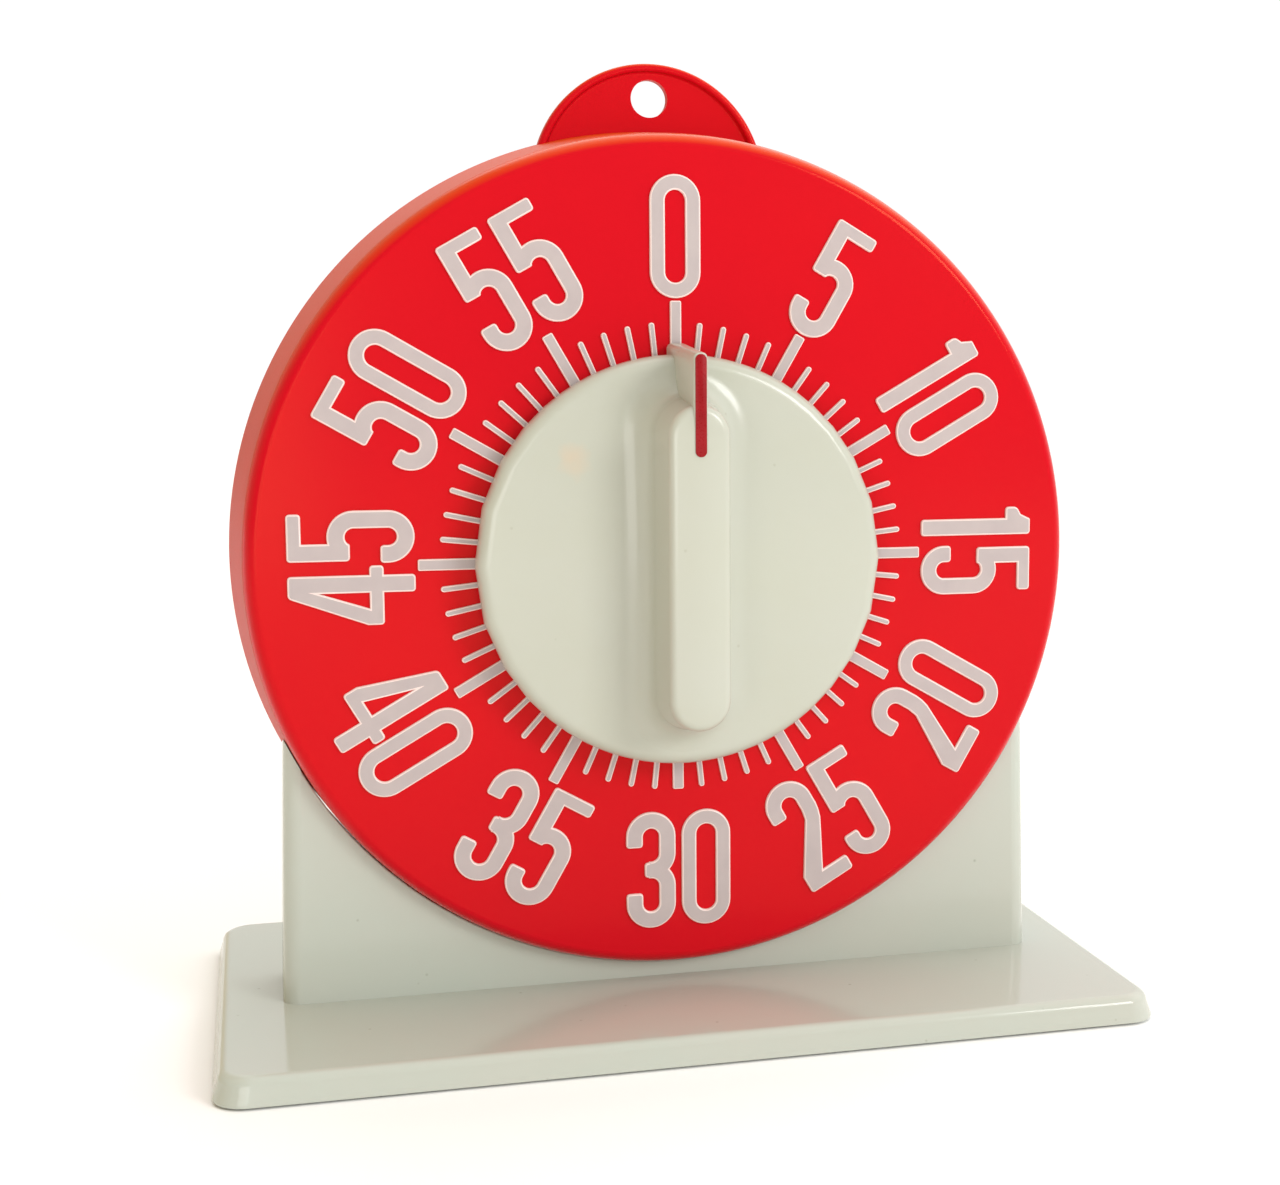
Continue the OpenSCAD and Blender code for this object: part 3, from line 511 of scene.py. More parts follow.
class Setter:
    """Sets copies of a pattern piece on points, each turned to its own axis."""

    def __init__(self) -> None:
        """Builds the tree, which reads each point's axis and twist."""
        tree = GeometryTree("set_on_points")
        points = tree.input("Points", "Geometry")
        pattern = tree.input("Pattern", "Object")
        finish = tree.input("Finish", "Material")
        source = tree.add("GeometryNodeObjectInfo", {"Object": pattern, "As Instance": True})
        axis = tree.add("GeometryNodeInputNamedAttribute", {"Name": "axis"}, data_type="FLOAT_VECTOR")
        twist = tree.add("GeometryNodeInputNamedAttribute", {"Name": "twist"}, data_type="FLOAT")
        aligned = tree.add(
            "FunctionNodeAlignRotationToVector", {"Vector": axis.outputs["Attribute"]}, axis="Z"
        )
        spun = tree.add(
            "FunctionNodeAxisAngleToRotation", {"Axis": (0, 0, 1), "Angle": twist.outputs["Attribute"]}
        )
        turned = tree.add(
            "FunctionNodeRotateRotation",
            {"Rotation": aligned.outputs[0], "Rotate By": spun.outputs[0]},
            rotation_space="LOCAL",
        )
        placed = tree.add(
            "GeometryNodeInstanceOnPoints",
            {"Points": points, "Instance": source.outputs["Geometry"], "Rotation": turned.outputs[0]},
        )
        tree.finish(placed.outputs[0], finish)
        self.tree = tree

    def set(
        self, name: str, pattern: Object, seats: Sequence["Seat"], finish: Material
    ) -> Object:
        """Sets the pattern on every seat.

        Args:
            name: Name of the piece that holds all the copies.
            pattern: What is copied, standing on the origin along +z.
            seats: Where each copy stands.
            finish: Material of the copies.

        Returns:
            The plain piece.
        """
        mesh = bpy.data.meshes.new(name + "_points")
        mesh.from_pydata([seat.place for seat in seats], [], [])
        axis = mesh.attributes.new("axis", "FLOAT_VECTOR", "POINT")
        axis.data.foreach_set("vector", [value for seat in seats for value in seat.axis])
        twist = mesh.attributes.new("twist", "FLOAT", "POINT")
        twist.data.foreach_set("value", [seat.twist for seat in seats])
        piece = self.tree.run(name, mesh, {"Pattern": pattern, "Finish": finish})
        shade(piece.data)
        return piece


@dataclass(frozen=True)
class Seat:
    """Where one copy of a pattern stands.

    Attributes:
        place: Point under the middle of the copy.
        axis: Direction in which the copy stands up.
        twist: Turn about that direction, in radians.
    """

    place: Vector
    axis: Vector
    twist: float = 0.0


# --------------------------------------------------------------------------- finishes


def paint(code: str) -> tuple[float, float, float, float]:
    """Turns a screen colour such as c8ccbe into linear light."""
    values = [int(code[k : k + 2], 16) / 255 for k in (0, 2, 4)]
    linear = [v / 12.92 if v <= 0.04045 else ((v + 0.055) / 1.055) ** 2.4 for v in values]
    return (*linear, 1.0)


BLACK, GREY, WHITE = ((level, level, level, 1.0) for level in (0.0, 0.5, 1.0))
SPECK_SPACING = 9 * MM


class Grain(Enum):
    """Which way the fine texture of a finish runs, as a stretch of its pattern."""

    EVEN = (1.0, 1.0, 1.0)
    BRUSHED_ACROSS = (0.04, 1.0, 1.0)
    BRUSHED_UP = (1.0, 1.0, 0.04)


@dataclass(frozen=True)
class Finish:
    """How one surface takes colour and light.

    Attributes:
        name: Name of the material.
        colour: Main screen colour.
        drift: Screen colour that broad patches drift to.
        dust: Screen colour of small specks, or an empty string for none.
        roughness: Lowest and highest roughness.
        metallic: How metallic it is.
        grain: Direction of the fine texture.
        grain_size: Size of the fine texture.
        grain_depth: Depth of the fine texture.
        patch_size: Size of the broad patches.
        coat: Strength of a clear glossy skin.
        specular: Strength of reflections seen straight on.
        tint: Screen colour of reflections.
        sheen: Strength of a fibre sheen.
        painted_top_light: Screen colour painted onto faces turned upwards as warm light from above, or an
            empty string for none.
        stain: Middle and radius of one faint stain, or an empty tuple for none.
        stain_colour: Screen colour of the stain.
    """

    name: str
    colour: str
    drift: str
    dust: str = ""
    roughness: tuple[float, float] = (0.3, 0.4)
    metallic: float = 0.0
    grain: Grain = Grain.EVEN
    grain_size: float = 0.6 * MM
    grain_depth: float = 0.01 * MM
    patch_size: float = 40 * MM
    coat: float = 0.0
    specular: float = 0.5
    tint: str = "ffffff"
    sheen: float = 0.0
    painted_top_light: str = ""
    stain: tuple[float, ...] = ()
    stain_colour: str = "ffffff"

    def material(self) -> Material:
        """Gives the node material, which is made the first time it is asked for."""
        known = bpy.data.materials.get(self.name)
        return known or self._build()

    def _build(self) -> Material:
        """Builds the node material from patches, specks, a stain, painted warm light on upturned faces and
        grain.
        """
        material = bpy.data.materials.new(self.name)
        material.use_nodes = True
        tree = material.node_tree
        tree.nodes.clear()
        place = add_node(tree, "ShaderNodeTexCoord").outputs["Object"]
        patches = self._noise(tree, place, self.patch_size, 4.0)
        colour = self._between(tree, patches, (paint(self.colour), paint(self.drift)), (0.35, 0.65))
        if self.dust:
            colour = self._laid_over(tree, colour, self.dust, self._specks(tree, place))
        # Painted light: faces turned upwards drift to a warm colour that stands in for warm light from
        # above.
        if self.painted_top_light:
            colour = self._laid_over(tree, colour, self.painted_top_light, self._upturned(tree))
        if self.stain:
            colour = self._laid_over(tree, colour, self.stain_colour, self._blot(tree, place))
        stretch = add_node(tree, "ShaderNodeMapping", {"Vector": place, "Scale": self.grain.value})
        grain = self._noise(tree, stretch.outputs[0], self.grain_size, 3.0)
        low, high = self.roughness
        rough = add_node(tree, "ShaderNodeMapRange", {"Value": grain, "To Min": low, "To Max": high})
        bump = add_node(
            tree, "ShaderNodeBump", {"Height": grain, "Distance": self.grain_depth, "Strength": 0.6}
        )
        shader = add_node(tree, "ShaderNodeBsdfPrincipled", {
            "Base Color": colour,
            "Roughness": rough.outputs[0],
            "Normal": bump.outputs[0],
            "Metallic": self.metallic,
            "Coat Weight": self.coat,
            "Coat Roughness": 0.08,
            "Specular IOR Level": self.specular,
            "Specular Tint": paint(self.tint),
            "Sheen Weight": self.sheen,
        })
        add_node(tree, "ShaderNodeOutputMaterial", {"Surface": shader.outputs[0]})
        return material

    def _noise(self, tree: NodeTree, place: NodeSocket, size: float, detail: float) -> NodeSocket:
        """Adds a noise whose features are about the given size."""
        values = {"Vector": place, "Scale": 1 / size, "Detail": detail, "Roughness": 0.55}
        return add_node(tree, "ShaderNodeTexNoise", values).outputs[0]

    def _between(
        self, tree: NodeTree, amount: NodeSocket, colours: Sequence[Sequence[float]], span: Point
    ) -> NodeSocket:
        """Adds a ramp from one colour to another as an amount crosses a span."""
        ramp = add_node(tree, "ShaderNodeValToRGB", {"Fac": amount})
        for element, colour, position in zip(ramp.color_ramp.elements, colours, span):
            element.position = position
            element.color = colour
        return ramp.outputs[0]

    def _laid_over(self, tree: NodeTree, below: NodeSocket, code: str, mask: NodeSocket) -> NodeSocket:
        """Lays a screen colour over another colour where a mask is light."""
        values = {0: mask, 6: below, 7: paint(code)}
        return add_node(tree, "ShaderNodeMix", values, data_type="RGBA").outputs[2]

    def _specks(self, tree: NodeTree, place: NodeSocket) -> NodeSocket:
        """Adds a mask of small sparse specks."""
        cells = add_node(tree, "ShaderNodeTexVoronoi", {"Vector": place, "Scale": 1 / SPECK_SPACING})
        return self._between(tree, cells.outputs["Distance"], (WHITE, BLACK), (0.02, 0.05))

    def _upturned(self, tree: NodeTree) -> NodeSocket:
        """Adds a mask of the faces that look upwards."""
        normal = add_node(tree, "ShaderNodeNewGeometry").outputs["Normal"]
        height = add_node(tree, "ShaderNodeSeparateXYZ", {0: normal}).outputs[2]
        return self._between(tree, height, (BLACK, WHITE), (0.3, 0.9))

    def _blot(self, tree: NodeTree, place: NodeSocket) -> NodeSocket:
        """Adds a mask of one faint uneven blot."""
        *middle, radius = self.stain
        away = add_node(tree, "ShaderNodeVectorMath", {0: place, 1: middle}, operation="DISTANCE")
        noise = self._noise(tree, place, radius, 3.0)
        uneven = {"Value": noise, "To Min": 0.4 * radius, "To Max": 1.6 * radius}
        reach = add_node(tree, "ShaderNodeMapRange", uneven).outputs[0]
        parts = {0: away.outputs["Value"], 1: reach}
        share = add_node(tree, "ShaderNodeMath", parts, operation="DIVIDE").outputs[0]
        return self._between(tree, share, (GREY, BLACK), (0.1, 1.0))


# The case's upturned faces carry painted warm light from above, orange on the top of the rim.
RED_CASE = Finish(
    "red_case_moulding", "c50d1f", "c90f1e", roughness=(0.15, 0.2), grain_size=0.8 * MM,
    grain_depth=0.006 * MM, patch_size=60 * MM, specular=0.3, tint="ff9460", painted_top_light="d8480c",
)
# Duller side wall; its more orange colour is painted reflection, the salmon sheen of the side seen at a
# grazing angle.
RED_SIDE_MATTE_PAINTED_REFLECTION = Finish(
    "red_case_side", "c4240f", "c02812", roughness=(0.4, 0.48), grain_size=0.5 * MM, grain_depth=0.02 * MM,
    patch_size=30 * MM, specular=0.15, tint="ff7a40", painted_top_light="d8480c",
)
KNOB_CREAM = Finish(
    "knob_cream_moulding", "b9bbae", "b8baab", "b0b0a0", roughness=(0.2, 0.27), grain_depth=0.005 * MM,
    patch_size=30 * MM, coat=0.1, stain=(-24 * MM, -25 * MM, 124 * MM, 4.5 * MM), stain_colour="d8b088",
)
STAND_CREAM = Finish(
    "stand_cream_moulding", "b8beb3", "bbbdb2", "a5a89b", roughness=(0.1, 0.14), grain_depth=0.003 * MM,
    patch_size=70 * MM, specular=0.4,
)
COVER_CREAM = Finish(
    "cover_satin_moulding", "b4b8aa", "aeb1a1", "9b9d90", roughness=(0.38, 0.5), grain_size=0.5 * MM,
    grain_depth=0.02 * MM,
)
FOIL_WHITE = Finish(
    "white_foil_face", "b2a6a5", "b7aba9", roughness=(0.45, 0.6), grain_size=0.35 * MM,
    grain_depth=0.012 * MM, patch_size=6 * MM, specular=0.25,
)
# Lighter copy of the white foil for the print's rounded edges: a painted highlight where the edges catch the
# light.
FOIL_EDGE_HIGHLIGHT = Finish(
    "white_foil_edge", "ead6d0", "e6d0ca", roughness=(0.3, 0.4), grain_size=0.4 * MM, patch_size=8 * MM,
)
FOIL_RED = Finish(
    "pointer_red_foil", "88050e", "960a16", roughness=(0.22, 0.35), grain_size=0.5 * MM, patch_size=4 * MM,
    specular=0.2,
)
BLACK_RUBBER = Finish(
    "foot_black_rubber", "1d1d1d", "262524", "3b3936", roughness=(0.65, 0.8), grain_size=0.3 * MM,
    grain_depth=0.03 * MM, patch_size=5 * MM,
)
PRESSED_FELT = Finish(
    "washer_pressed_felt", "4b4946", "57544f", roughness=(0.9, 1.0), grain_size=0.15 * MM,
    grain_depth=0.12 * MM, patch_size=2 * MM, sheen=0.5,
)
ZINC_SCREW = Finish(
    "zinc_plated_screw", "b9bab8", "a6a8ab", roughness=(0.28, 0.42), metallic=1.0, grain_size=0.25 * MM,
    patch_size=2 * MM,
)
BRUSHED_PLATE = Finish(
    "brushed_plate_steel", "bfc0c2", "b1b3b6", roughness=(0.25, 0.42), metallic=1.0,
    grain=Grain.BRUSHED_ACROSS, grain_size=0.3 * MM, patch_size=12 * MM,
)
TURNED_STEEL = Finish(
    "turned_arbor_steel", "b5b6ba", "a5a7ad", roughness=(0.18, 0.3), metallic=1.0, grain_size=0.2 * MM,
    patch_size=4 * MM,
)
BLUED_SPRING = Finish(
    "blued_spring_steel", "5a6478", "4a4f66", roughness=(0.2, 0.34), metallic=1.0,
    grain=Grain.BRUSHED_UP, grain_size=0.3 * MM, patch_size=6 * MM,
)
STAMPED_BRASS = Finish(
    "stamped_brass", "d4b066", "c39a4e", "8f7138", roughness=(0.2, 0.36), metallic=1.0,
    grain=Grain.BRUSHED_UP, grain_size=0.25 * MM, patch_size=8 * MM,
)
PLATED_BELL = Finish(
    "plated_bell_steel", "cfd0d2", "c2c4c8", roughness=(0.08, 0.16), metallic=1.0, grain_size=0.4 * MM,
    patch_size=15 * MM,
)
FLOOR_WHITE = Finish(
    "studio_floor", "fefefe", "fdfdfd", roughness=(0.7, 0.8), patch_size=400 * MM, specular=0.1,
)


def dress(obj: Object, *finishes: Finish) -> Object:
    """Gives an object the materials of the finishes, in order."""
    obj.data.materials.clear()
    for finish in finishes:
        obj.data.materials.append(finish.material())
    return obj


def mount(obj: Object, body: str, slot: str, *nodes: str) -> Object:
    """Makes a finished piece ride on a body in place of frame nodes."""
    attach(obj, body)
    if nodes:
        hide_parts(*nodes)
    log.info("%s: %d faces on %s", obj.name, len(obj.data.polygons), body)
    return obj


def rod(
    name: str, at: Sequence[float], low: float, high: float, radius: float, steps: int = 48
) -> Object:
    """Makes a closed round rod along z.

    Args:
        name: Name of the object.
        at: Its place across the axis.
        low: Lower end.
        high: Upper end.
        radius: Its radius.
        steps: Steps round it.

    Returns:
        The rod.
    """
    ring = arc((at[0], at[1]), (radius, radius), 0, 360 - 360 / steps, steps - 1)
    return loft(name, [[Vector((x, y, z)) for x, y in ring] for z in (low, high)])


# --------------------------------------------------------------------------- sub-assemblies


@dataclass
class CaseShell:
    """The red cup: dial face, rolled rim, flared side, hanging tab and the bosses inside.

    Attributes:
        dial: Where the dial lies.
        lathe: Turns the round parts.
        rim_radius: Radius where the rolled rim meets the side.
        roll_width: Width of the rolled rim, seen on the dial.
        roll_depth: Depth of the rolled rim.
        wall: Wall thickness.
        seat_depth: Depth of the back cover's seat.
        seat_wall: Wall left round the seat.
        bore: Radius of the hole for the winding bushing.
        tab_radius: Radius of the tab.
        tab_sink: How far the tab's centre lies inside the rim.
        tab_thickness: Thickness of the tab's plate.
        lip_width: Width of the tab's raised lip.
        lip_height: Height of the lip.
        hole_radius: Radius of the hanging hole.
        hole_edge: Distance from the hole's centre to the tab's top.
        back_edge: Rounding of the back edge.
        inner_step: Extra thickness of the wall behind the rolled rim.
        lip_blend: Radius of the hollow inside the lip, and of the tab's back edge.
        bell_boss_extra: How much wider the bell's boss is than the others.
        bell_shoulder: How much narrower the bell post's foot is than its widest part.
        side_boss_extra: How much wider the bosses for the side screws are.
        side_boss_height: Height of the bosses for the side screws.
        boss_radius: Radius of the screw bosses.
        pilot_radius: Radius of the screws' pilot holes.
        steps: Steps round the case.
    """

    dial: DialFrame
    lathe: Lathe
    rim_radius: float = 92 * MM
    roll_width: float = 3.2 * MM
    roll_depth: float = 4.7 * MM
    wall: float = 2.4 * MM
    seat_depth: float = 2.5 * MM
    seat_wall: float = 1.2 * MM
    bore: float = 4.5 * MM
    tab_radius: float = 26.7 * MM
    tab_sink: float = 9 * MM
    tab_thickness: float = 2.4 * MM
    lip_width: float = 1.8 * MM
    lip_height: float = 1.2 * MM
    hole_radius: float = 4.2 * MM
    hole_edge: float = 7.7 * MM
    back_edge: float = 0.5 * MM
    inner_step: float = 0.4 * MM
    lip_blend: Point = (0.6 * MM, 0.4 * MM)
    bell_boss_extra: float = 1.4 * MM
    bell_shoulder: float = 0.95 * MM
    side_boss_extra: float = 1 * MM
    side_boss_height: float = 9 * MM
    boss_radius: float = 3.6 * MM
    pilot_radius: float = 1.3 * MM
    steps: int = 240

    @property
    def back_radius(self) -> float:
        """Radius of the back edge, from the frame."""
        low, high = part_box("case")
        return (high.x - low.x) / 2

    @property
    def depth(self) -> float:
        """Depth of the case, from the frame."""
        low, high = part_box("case")
        return high.y - low.y

    def outline(self) -> list[Point]:
        """Gives the section of the cup's wall, as radius and height."""
        face = self.rim_radius - self.roll_width
        wide, depth, edge = self.back_radius, self.depth, self.back_edge
        roll = [(face + self.roll_width * out, -self.roll_depth * back) for out, back in quarter(14)]
        corner = arc((wide - edge - CHORD_SLACK, -depth + edge), (edge, edge), 0, -90, 4)
        seat = wide - self.seat_wall
        floor = -depth + self.seat_depth
        inside = self.rim_radius - self.wall - self.inner_step
        return [
            (self.bore, -self.wall), (self.bore, 0), (face, 0), *roll, *corner,
            (seat, -depth), (seat, floor), (wide - self.wall, floor),
            (inside, -self.roll_depth), (face - 1 * MM, -self.wall),
        ]

    def tab(self) -> Object:
        """Builds the hanging tab with its rounded lip, and cuts it to the case's side."""
        front = -self.depth + self.tab_thickness
        lip_in, round_over = self.tab_radius - self.lip_width, self.lip_width / 2
        crest = front + self.lip_height - round_over
        hollow, edge = self.lip_blend
        blend = arc((lip_in - hollow, front + hollow), (hollow, hollow), -90, 0, 5)
        lip = arc((self.tab_radius - round_over, crest), (round_over, round_over), 180, 0, 10)
        foot = arc((self.tab_radius - edge, -self.depth + edge), (edge, edge), 0, -90, 4)
        section = [(0.0, front), *blend, *lip, *foot, (0.0, -self.depth)]
        disc = self.lathe.turn("tab", section, 160, RED_CASE.material())
        centre = self.rim_radius - self.tab_sink
        disc.data.transform(Matrix.Translation((0, centre, 0)))
        inner = rod("tab_cut", (0, 0), -self.depth - 1 * MM, 0, self.back_radius - 0.8 * MM, self.steps)
        hole = rod(
            "hang_cut", (0, centre + self.tab_radius - self.hole_edge), -self.depth - 1 * MM, 0,
            self.hole_radius, 64,
        )
        return combine(disc, Cut.REMOVE, [inner, hole])

    def bosses(self) -> tuple[list[Object], list[Object]]:
        """Builds the screw bosses and the pilot holes in them, at the frame's own screws."""
        posts, pilots = [], []
        root = -self.wall / 2
        plate = self.dial.seen_from_dial(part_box("front_plate")[0]).z
        cover = -self.depth + self.seat_depth
        for node, end in (("movement_screws", plate), ("cover_screws", cover)):
            for k, (low, high) in enumerate(solid_boxes(node)):
                at = self.dial.seen_from_dial((low + high) / 2)
                posts.append(rod(f"{node}_boss_{k}", at, end, root, self.boss_radius))
                pilot = rod(f"{node}_pilot_{k}", at, end - 1 * MM, -self.wall, self.pilot_radius, 24)
                pilots.append(pilot)
        low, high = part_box("bell_post")
        bell = self.dial.seen_from_dial((low + high) / 2)
        foot = (high.x - low.x) / 2 - self.bell_shoulder
        posts.append(rod("bell_boss", bell, plate - 2 * MM, root, self.boss_radius + self.bell_boss_extra))
        pilots.append(rod("bell_pilot", bell, plate - 3 * MM, -self.wall, foot, 32))
        for k, (low, high) in enumerate(solid_boxes("case_screws")):
            at = self.dial.seen_from_dial((low + high) / 2)
            turn = Matrix.Rotation(math.atan2(-at.x, at.y) + math.pi, 4, "Z")
            shift = Matrix.Translation((0, -self.rim_radius + self.wall / 2, at.z))
            stand = turn @ shift @ Matrix.Rotation(-math.pi / 2, 4, "X")
            radius = self.boss_radius + self.side_boss_extra
            post = rod(f"side_boss_{k}", (0, 0), 0, self.side_boss_height, radius)
            pilot = rod(f"side_pilot_{k}", (0, 0), -8 * MM, 8 * MM, self.pilot_radius, 24)
            for piece in (post, pilot):
                piece.data.transform(stand)
            posts.append(post)
            pilots.append(pilot)
        return posts, pilots

    def build(self) -> Object:
        """Builds and dresses the whole shell."""
        cup = self.lathe.turn("case_shell", self.outline(), self.steps, RED_CASE.material())
        posts, pilots = self.bosses()
        cup = combine(cup, Cut.ADD, [self.tab(), *posts])
        cup = combine(cup, Cut.REMOVE, pilots)
        close_up(cup.data)
        shade(cup.data)
        self.dial.place(cup)
        dress(cup, RED_CASE, RED_SIDE_MATTE_PAINTED_REFLECTION)
        self.split_side(cup)
        return mount(cup, ROOT_BODY, "red_plastic", "case")

    def split_side(self, obj: Object) -> None:
        """Gives the side wall its own, duller finish, whose more orange colour paints in the salmon
        reflection the side shows at a grazing angle.
        """
        for face in obj.data.polygons:
            at = self.dial.seen_from_dial(face.center)
            outside = math.hypot(at.x, at.y) > self.rim_radius - 0.4 * MM
            face.material_index = int(outside and abs(face.normal.y) < 0.35)


@dataclass
class DialPrint:
    """The raised numerals and the ring of minute marks.

    Attributes:
        dial: Where the dial lies.
        shoulder: Width of the rounding along a print's edge.
        corner: Radius of a numeral's corners.
        marks: Number of minute marks.
        every: Every mark of this number is a long, wide one.
        short_half: The one wide mark that is as short as a minute mark.
        inner: Radius at which the marks start, under the knob.
        long_end: Radius at which the long marks end.
        short_end: Radius at which the short marks end.
        wide: Width of the long marks.
        narrow: Width of the minute marks.
    """

    dial: DialFrame
    shoulder: float = 0.36 * MM
    corner: float = 0.75 * MM
    marks: int = 60
    every: int = 5
    short_half: int = 30
    inner: float = 41 * MM
    long_end: float = 56 * MM
    short_end: float = 51.55 * MM
    wide: float = 2.45 * MM
    narrow: float = 1.24 * MM

    @property
    def height(self) -> float:
        """Height of the print above the dial, from the frame."""
        low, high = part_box("minute_marks")
        return high.y - low.y

    def split_edges(self, obj: Object) -> None:
        """Gives the faces that turn away from the dial's front the lighter foil that paints a highlight on
        the rounded edges, and keeps the front flat.
        """
        for face in obj.data.polygons:
            front = -face.normal.y > 0.985
            face.material_index = 0 if front else 1
            face.use_smooth = not front

    def numerals(self) -> Object:
        """Rounds the corners and then the front edges of the numerals."""
        piece = node_copy("dial_numerals", "numerals", 0.1)
        edit(piece.data, self.round_corners)
        edit(piece.data, self.round_fronts)
        close_up(piece.data, 0.001 * MM)
        # The second finish paints a highlight on the rounded edges.
        dress(piece, FOIL_WHITE, FOIL_EDGE_HIGHLIGHT)
        shade(piece.data, 40)
        self.split_edges(piece)
        return mount(piece, ROOT_BODY, "white_foil", "dial_numerals")

    def round_corners(self, work: BMesh) -> None:
        """Rounds the outward corners of an outline, each as far as its neighbours allow."""
        for edge in list(work.edges):
            if not edge.is_valid or len(edge.link_faces) != 2:
                continue
            start, end = (vertex.co for vertex in edge.verts)
            upright = abs(end.y - start.y) > 0.95 * (end - start).length
            if upright and edge.calc_face_angle_signed(0.0) > math.radians(35):
                bmesh.ops.bevel(
                    work, geom=[edge], offset=self.corner, segments=4, profile=0.5, affect="EDGES",
                    clamp_overlap=True,
                )

    def round_fronts(self, work: BMesh) -> None:
        """Rounds the edges between the front faces and the sides, by insets that climb a quarter circle."""
        fronts = [face for face in work.faces if -face.normal.y > 0.9]
        for vertex in {vertex for face in fronts for vertex in face.verts}:
            vertex.co.y += self.shoulder
        last_up, last_back = 0.0, 0.0
        for up, back in quarter(3):
            bmesh.ops.inset_region(
                work, faces=fronts, use_even_offset=True,
                thickness=self.shoulder * (back - last_back), depth=self.shoulder * (up - last_up),
            )
            last_up, last_back = up, back

    def bar(self, name: str, width: float, end: float, corner: float) -> Object:
        """Builds one mark, lying along y from the inner radius to its end.

        Args:
            name: Name of the pattern.
            width: Width of the mark.
            end: Radius at which it ends.
            corner: Radius of its corners.

        Returns:
            The mark, drawn in the dial's frame.
        """
        middle, half = (self.inner + end) / 2, (end - self.inner) / 2
        fillet = self.shoulder * 0.75
        rings = []
        top = self.height - fillet
        levels = [(0.0, 0.0), (0.0, top), *((fillet * back, top + fillet * up) for up, back in quarter(3))]
        for inset, z in levels:
            ring = rounded_rect_ring(width / 2 - inset, half - inset, max(corner - inset, 0.05 * MM), 5)
            rings.append([Vector((x, middle + y, z)) for x, y in ring])
        return loft(name, rings)

    def mark_tree(self) -> GeometryTree:
        """Builds the tree that sets the three kinds of mark round the dial."""
        tree = GeometryTree("ring_of_marks")
        count, every = tree.input("Marks", "Int"), tree.input("Wide every", "Int")
        half = tree.input("Short wide mark", "Int")
        bars = [tree.input(label, "Object") for label in ("Minute bar", "Wide bar", "Short wide bar")]
        finish = tree.input("Finish", "Material")
        index = tree.add("GeometryNodeInputIndex").outputs[0]
        points = tree.add("GeometryNodePoints", {"Count": count}).outputs[0]
        turn = tree.add("ShaderNodeMath", {0: -TAU, 1: count}, operation="DIVIDE").outputs[0]
        angle = tree.add("ShaderNodeMath", {0: index, 1: turn}, operation="MULTIPLY").outputs[0]
        spin = tree.add("FunctionNodeAxisAngleToRotation", {"Axis": (0, 0, 1), "Angle": angle}).outputs[0]
        left = tree.add("ShaderNodeMath", {0: index, 1: every}, operation="MODULO").outputs[0]
        is_minute = tree.add("ShaderNodeMath", {0: left, 1: 0.5}, operation="GREATER_THAN").outputs[0]
        is_half = tree.add("ShaderNodeMath", {0: index, 1: half, 2: 0.5}, operation="COMPARE").outputs[0]
        either = tree.add("ShaderNodeMath", {0: is_minute, 1: is_half}, operation="ADD").outputs[0]
        is_wide = tree.add("ShaderNodeMath", {0: 1.0, 1: either}, operation="SUBTRACT").outputs[0]
        joined = tree.add("GeometryNodeJoinGeometry")
        for bar, chosen in zip(bars, (is_minute, is_wide, is_half)):
            source = tree.add("GeometryNodeObjectInfo", {"Object": bar, "As Instance": True})
            values = {"Points": points, "Selection": chosen, "Rotation": spin}
            values["Instance"] = source.outputs["Geometry"]
            placed = tree.add("GeometryNodeInstanceOnPoints", values)
            tree.tree.links.new(placed.outputs[0], joined.inputs[0])
        tree.finish(joined.outputs[0], finish)
        return tree

    def minute_marks(self) -> Object:
        """Sets the sixty marks."""
        minute = self.bar("minute_bar", self.narrow, self.short_end, self.narrow / 2)
        wide = self.bar("wide_bar", self.wide, self.long_end, 0.4 * MM)
        half = self.bar("short_wide_bar", self.wide, self.short_end, 0.4 * MM)
        values = {
            "Marks": self.marks, "Wide every": self.every, "Short wide mark": self.short_half,
            "Minute bar": minute, "Wide bar": wide, "Short wide bar": half, "Finish": FOIL_WHITE.material(),
        }
        piece = self.mark_tree().run("minute_ring", bpy.data.meshes.new("marks_start"), values)
        discard(minute, wide, half)
        self.dial.place(piece)
        # The second finish paints a highlight on the rounded edges.
        dress(piece, FOIL_WHITE, FOIL_EDGE_HIGHLIGHT)
        shade(piece.data, 40)
        self.split_edges(piece)
        return mount(piece, ROOT_BODY, "white_foil", "minute_marks")

    def build(self) -> None:
        """Builds both prints."""
        self.numerals()
        self.minute_marks()


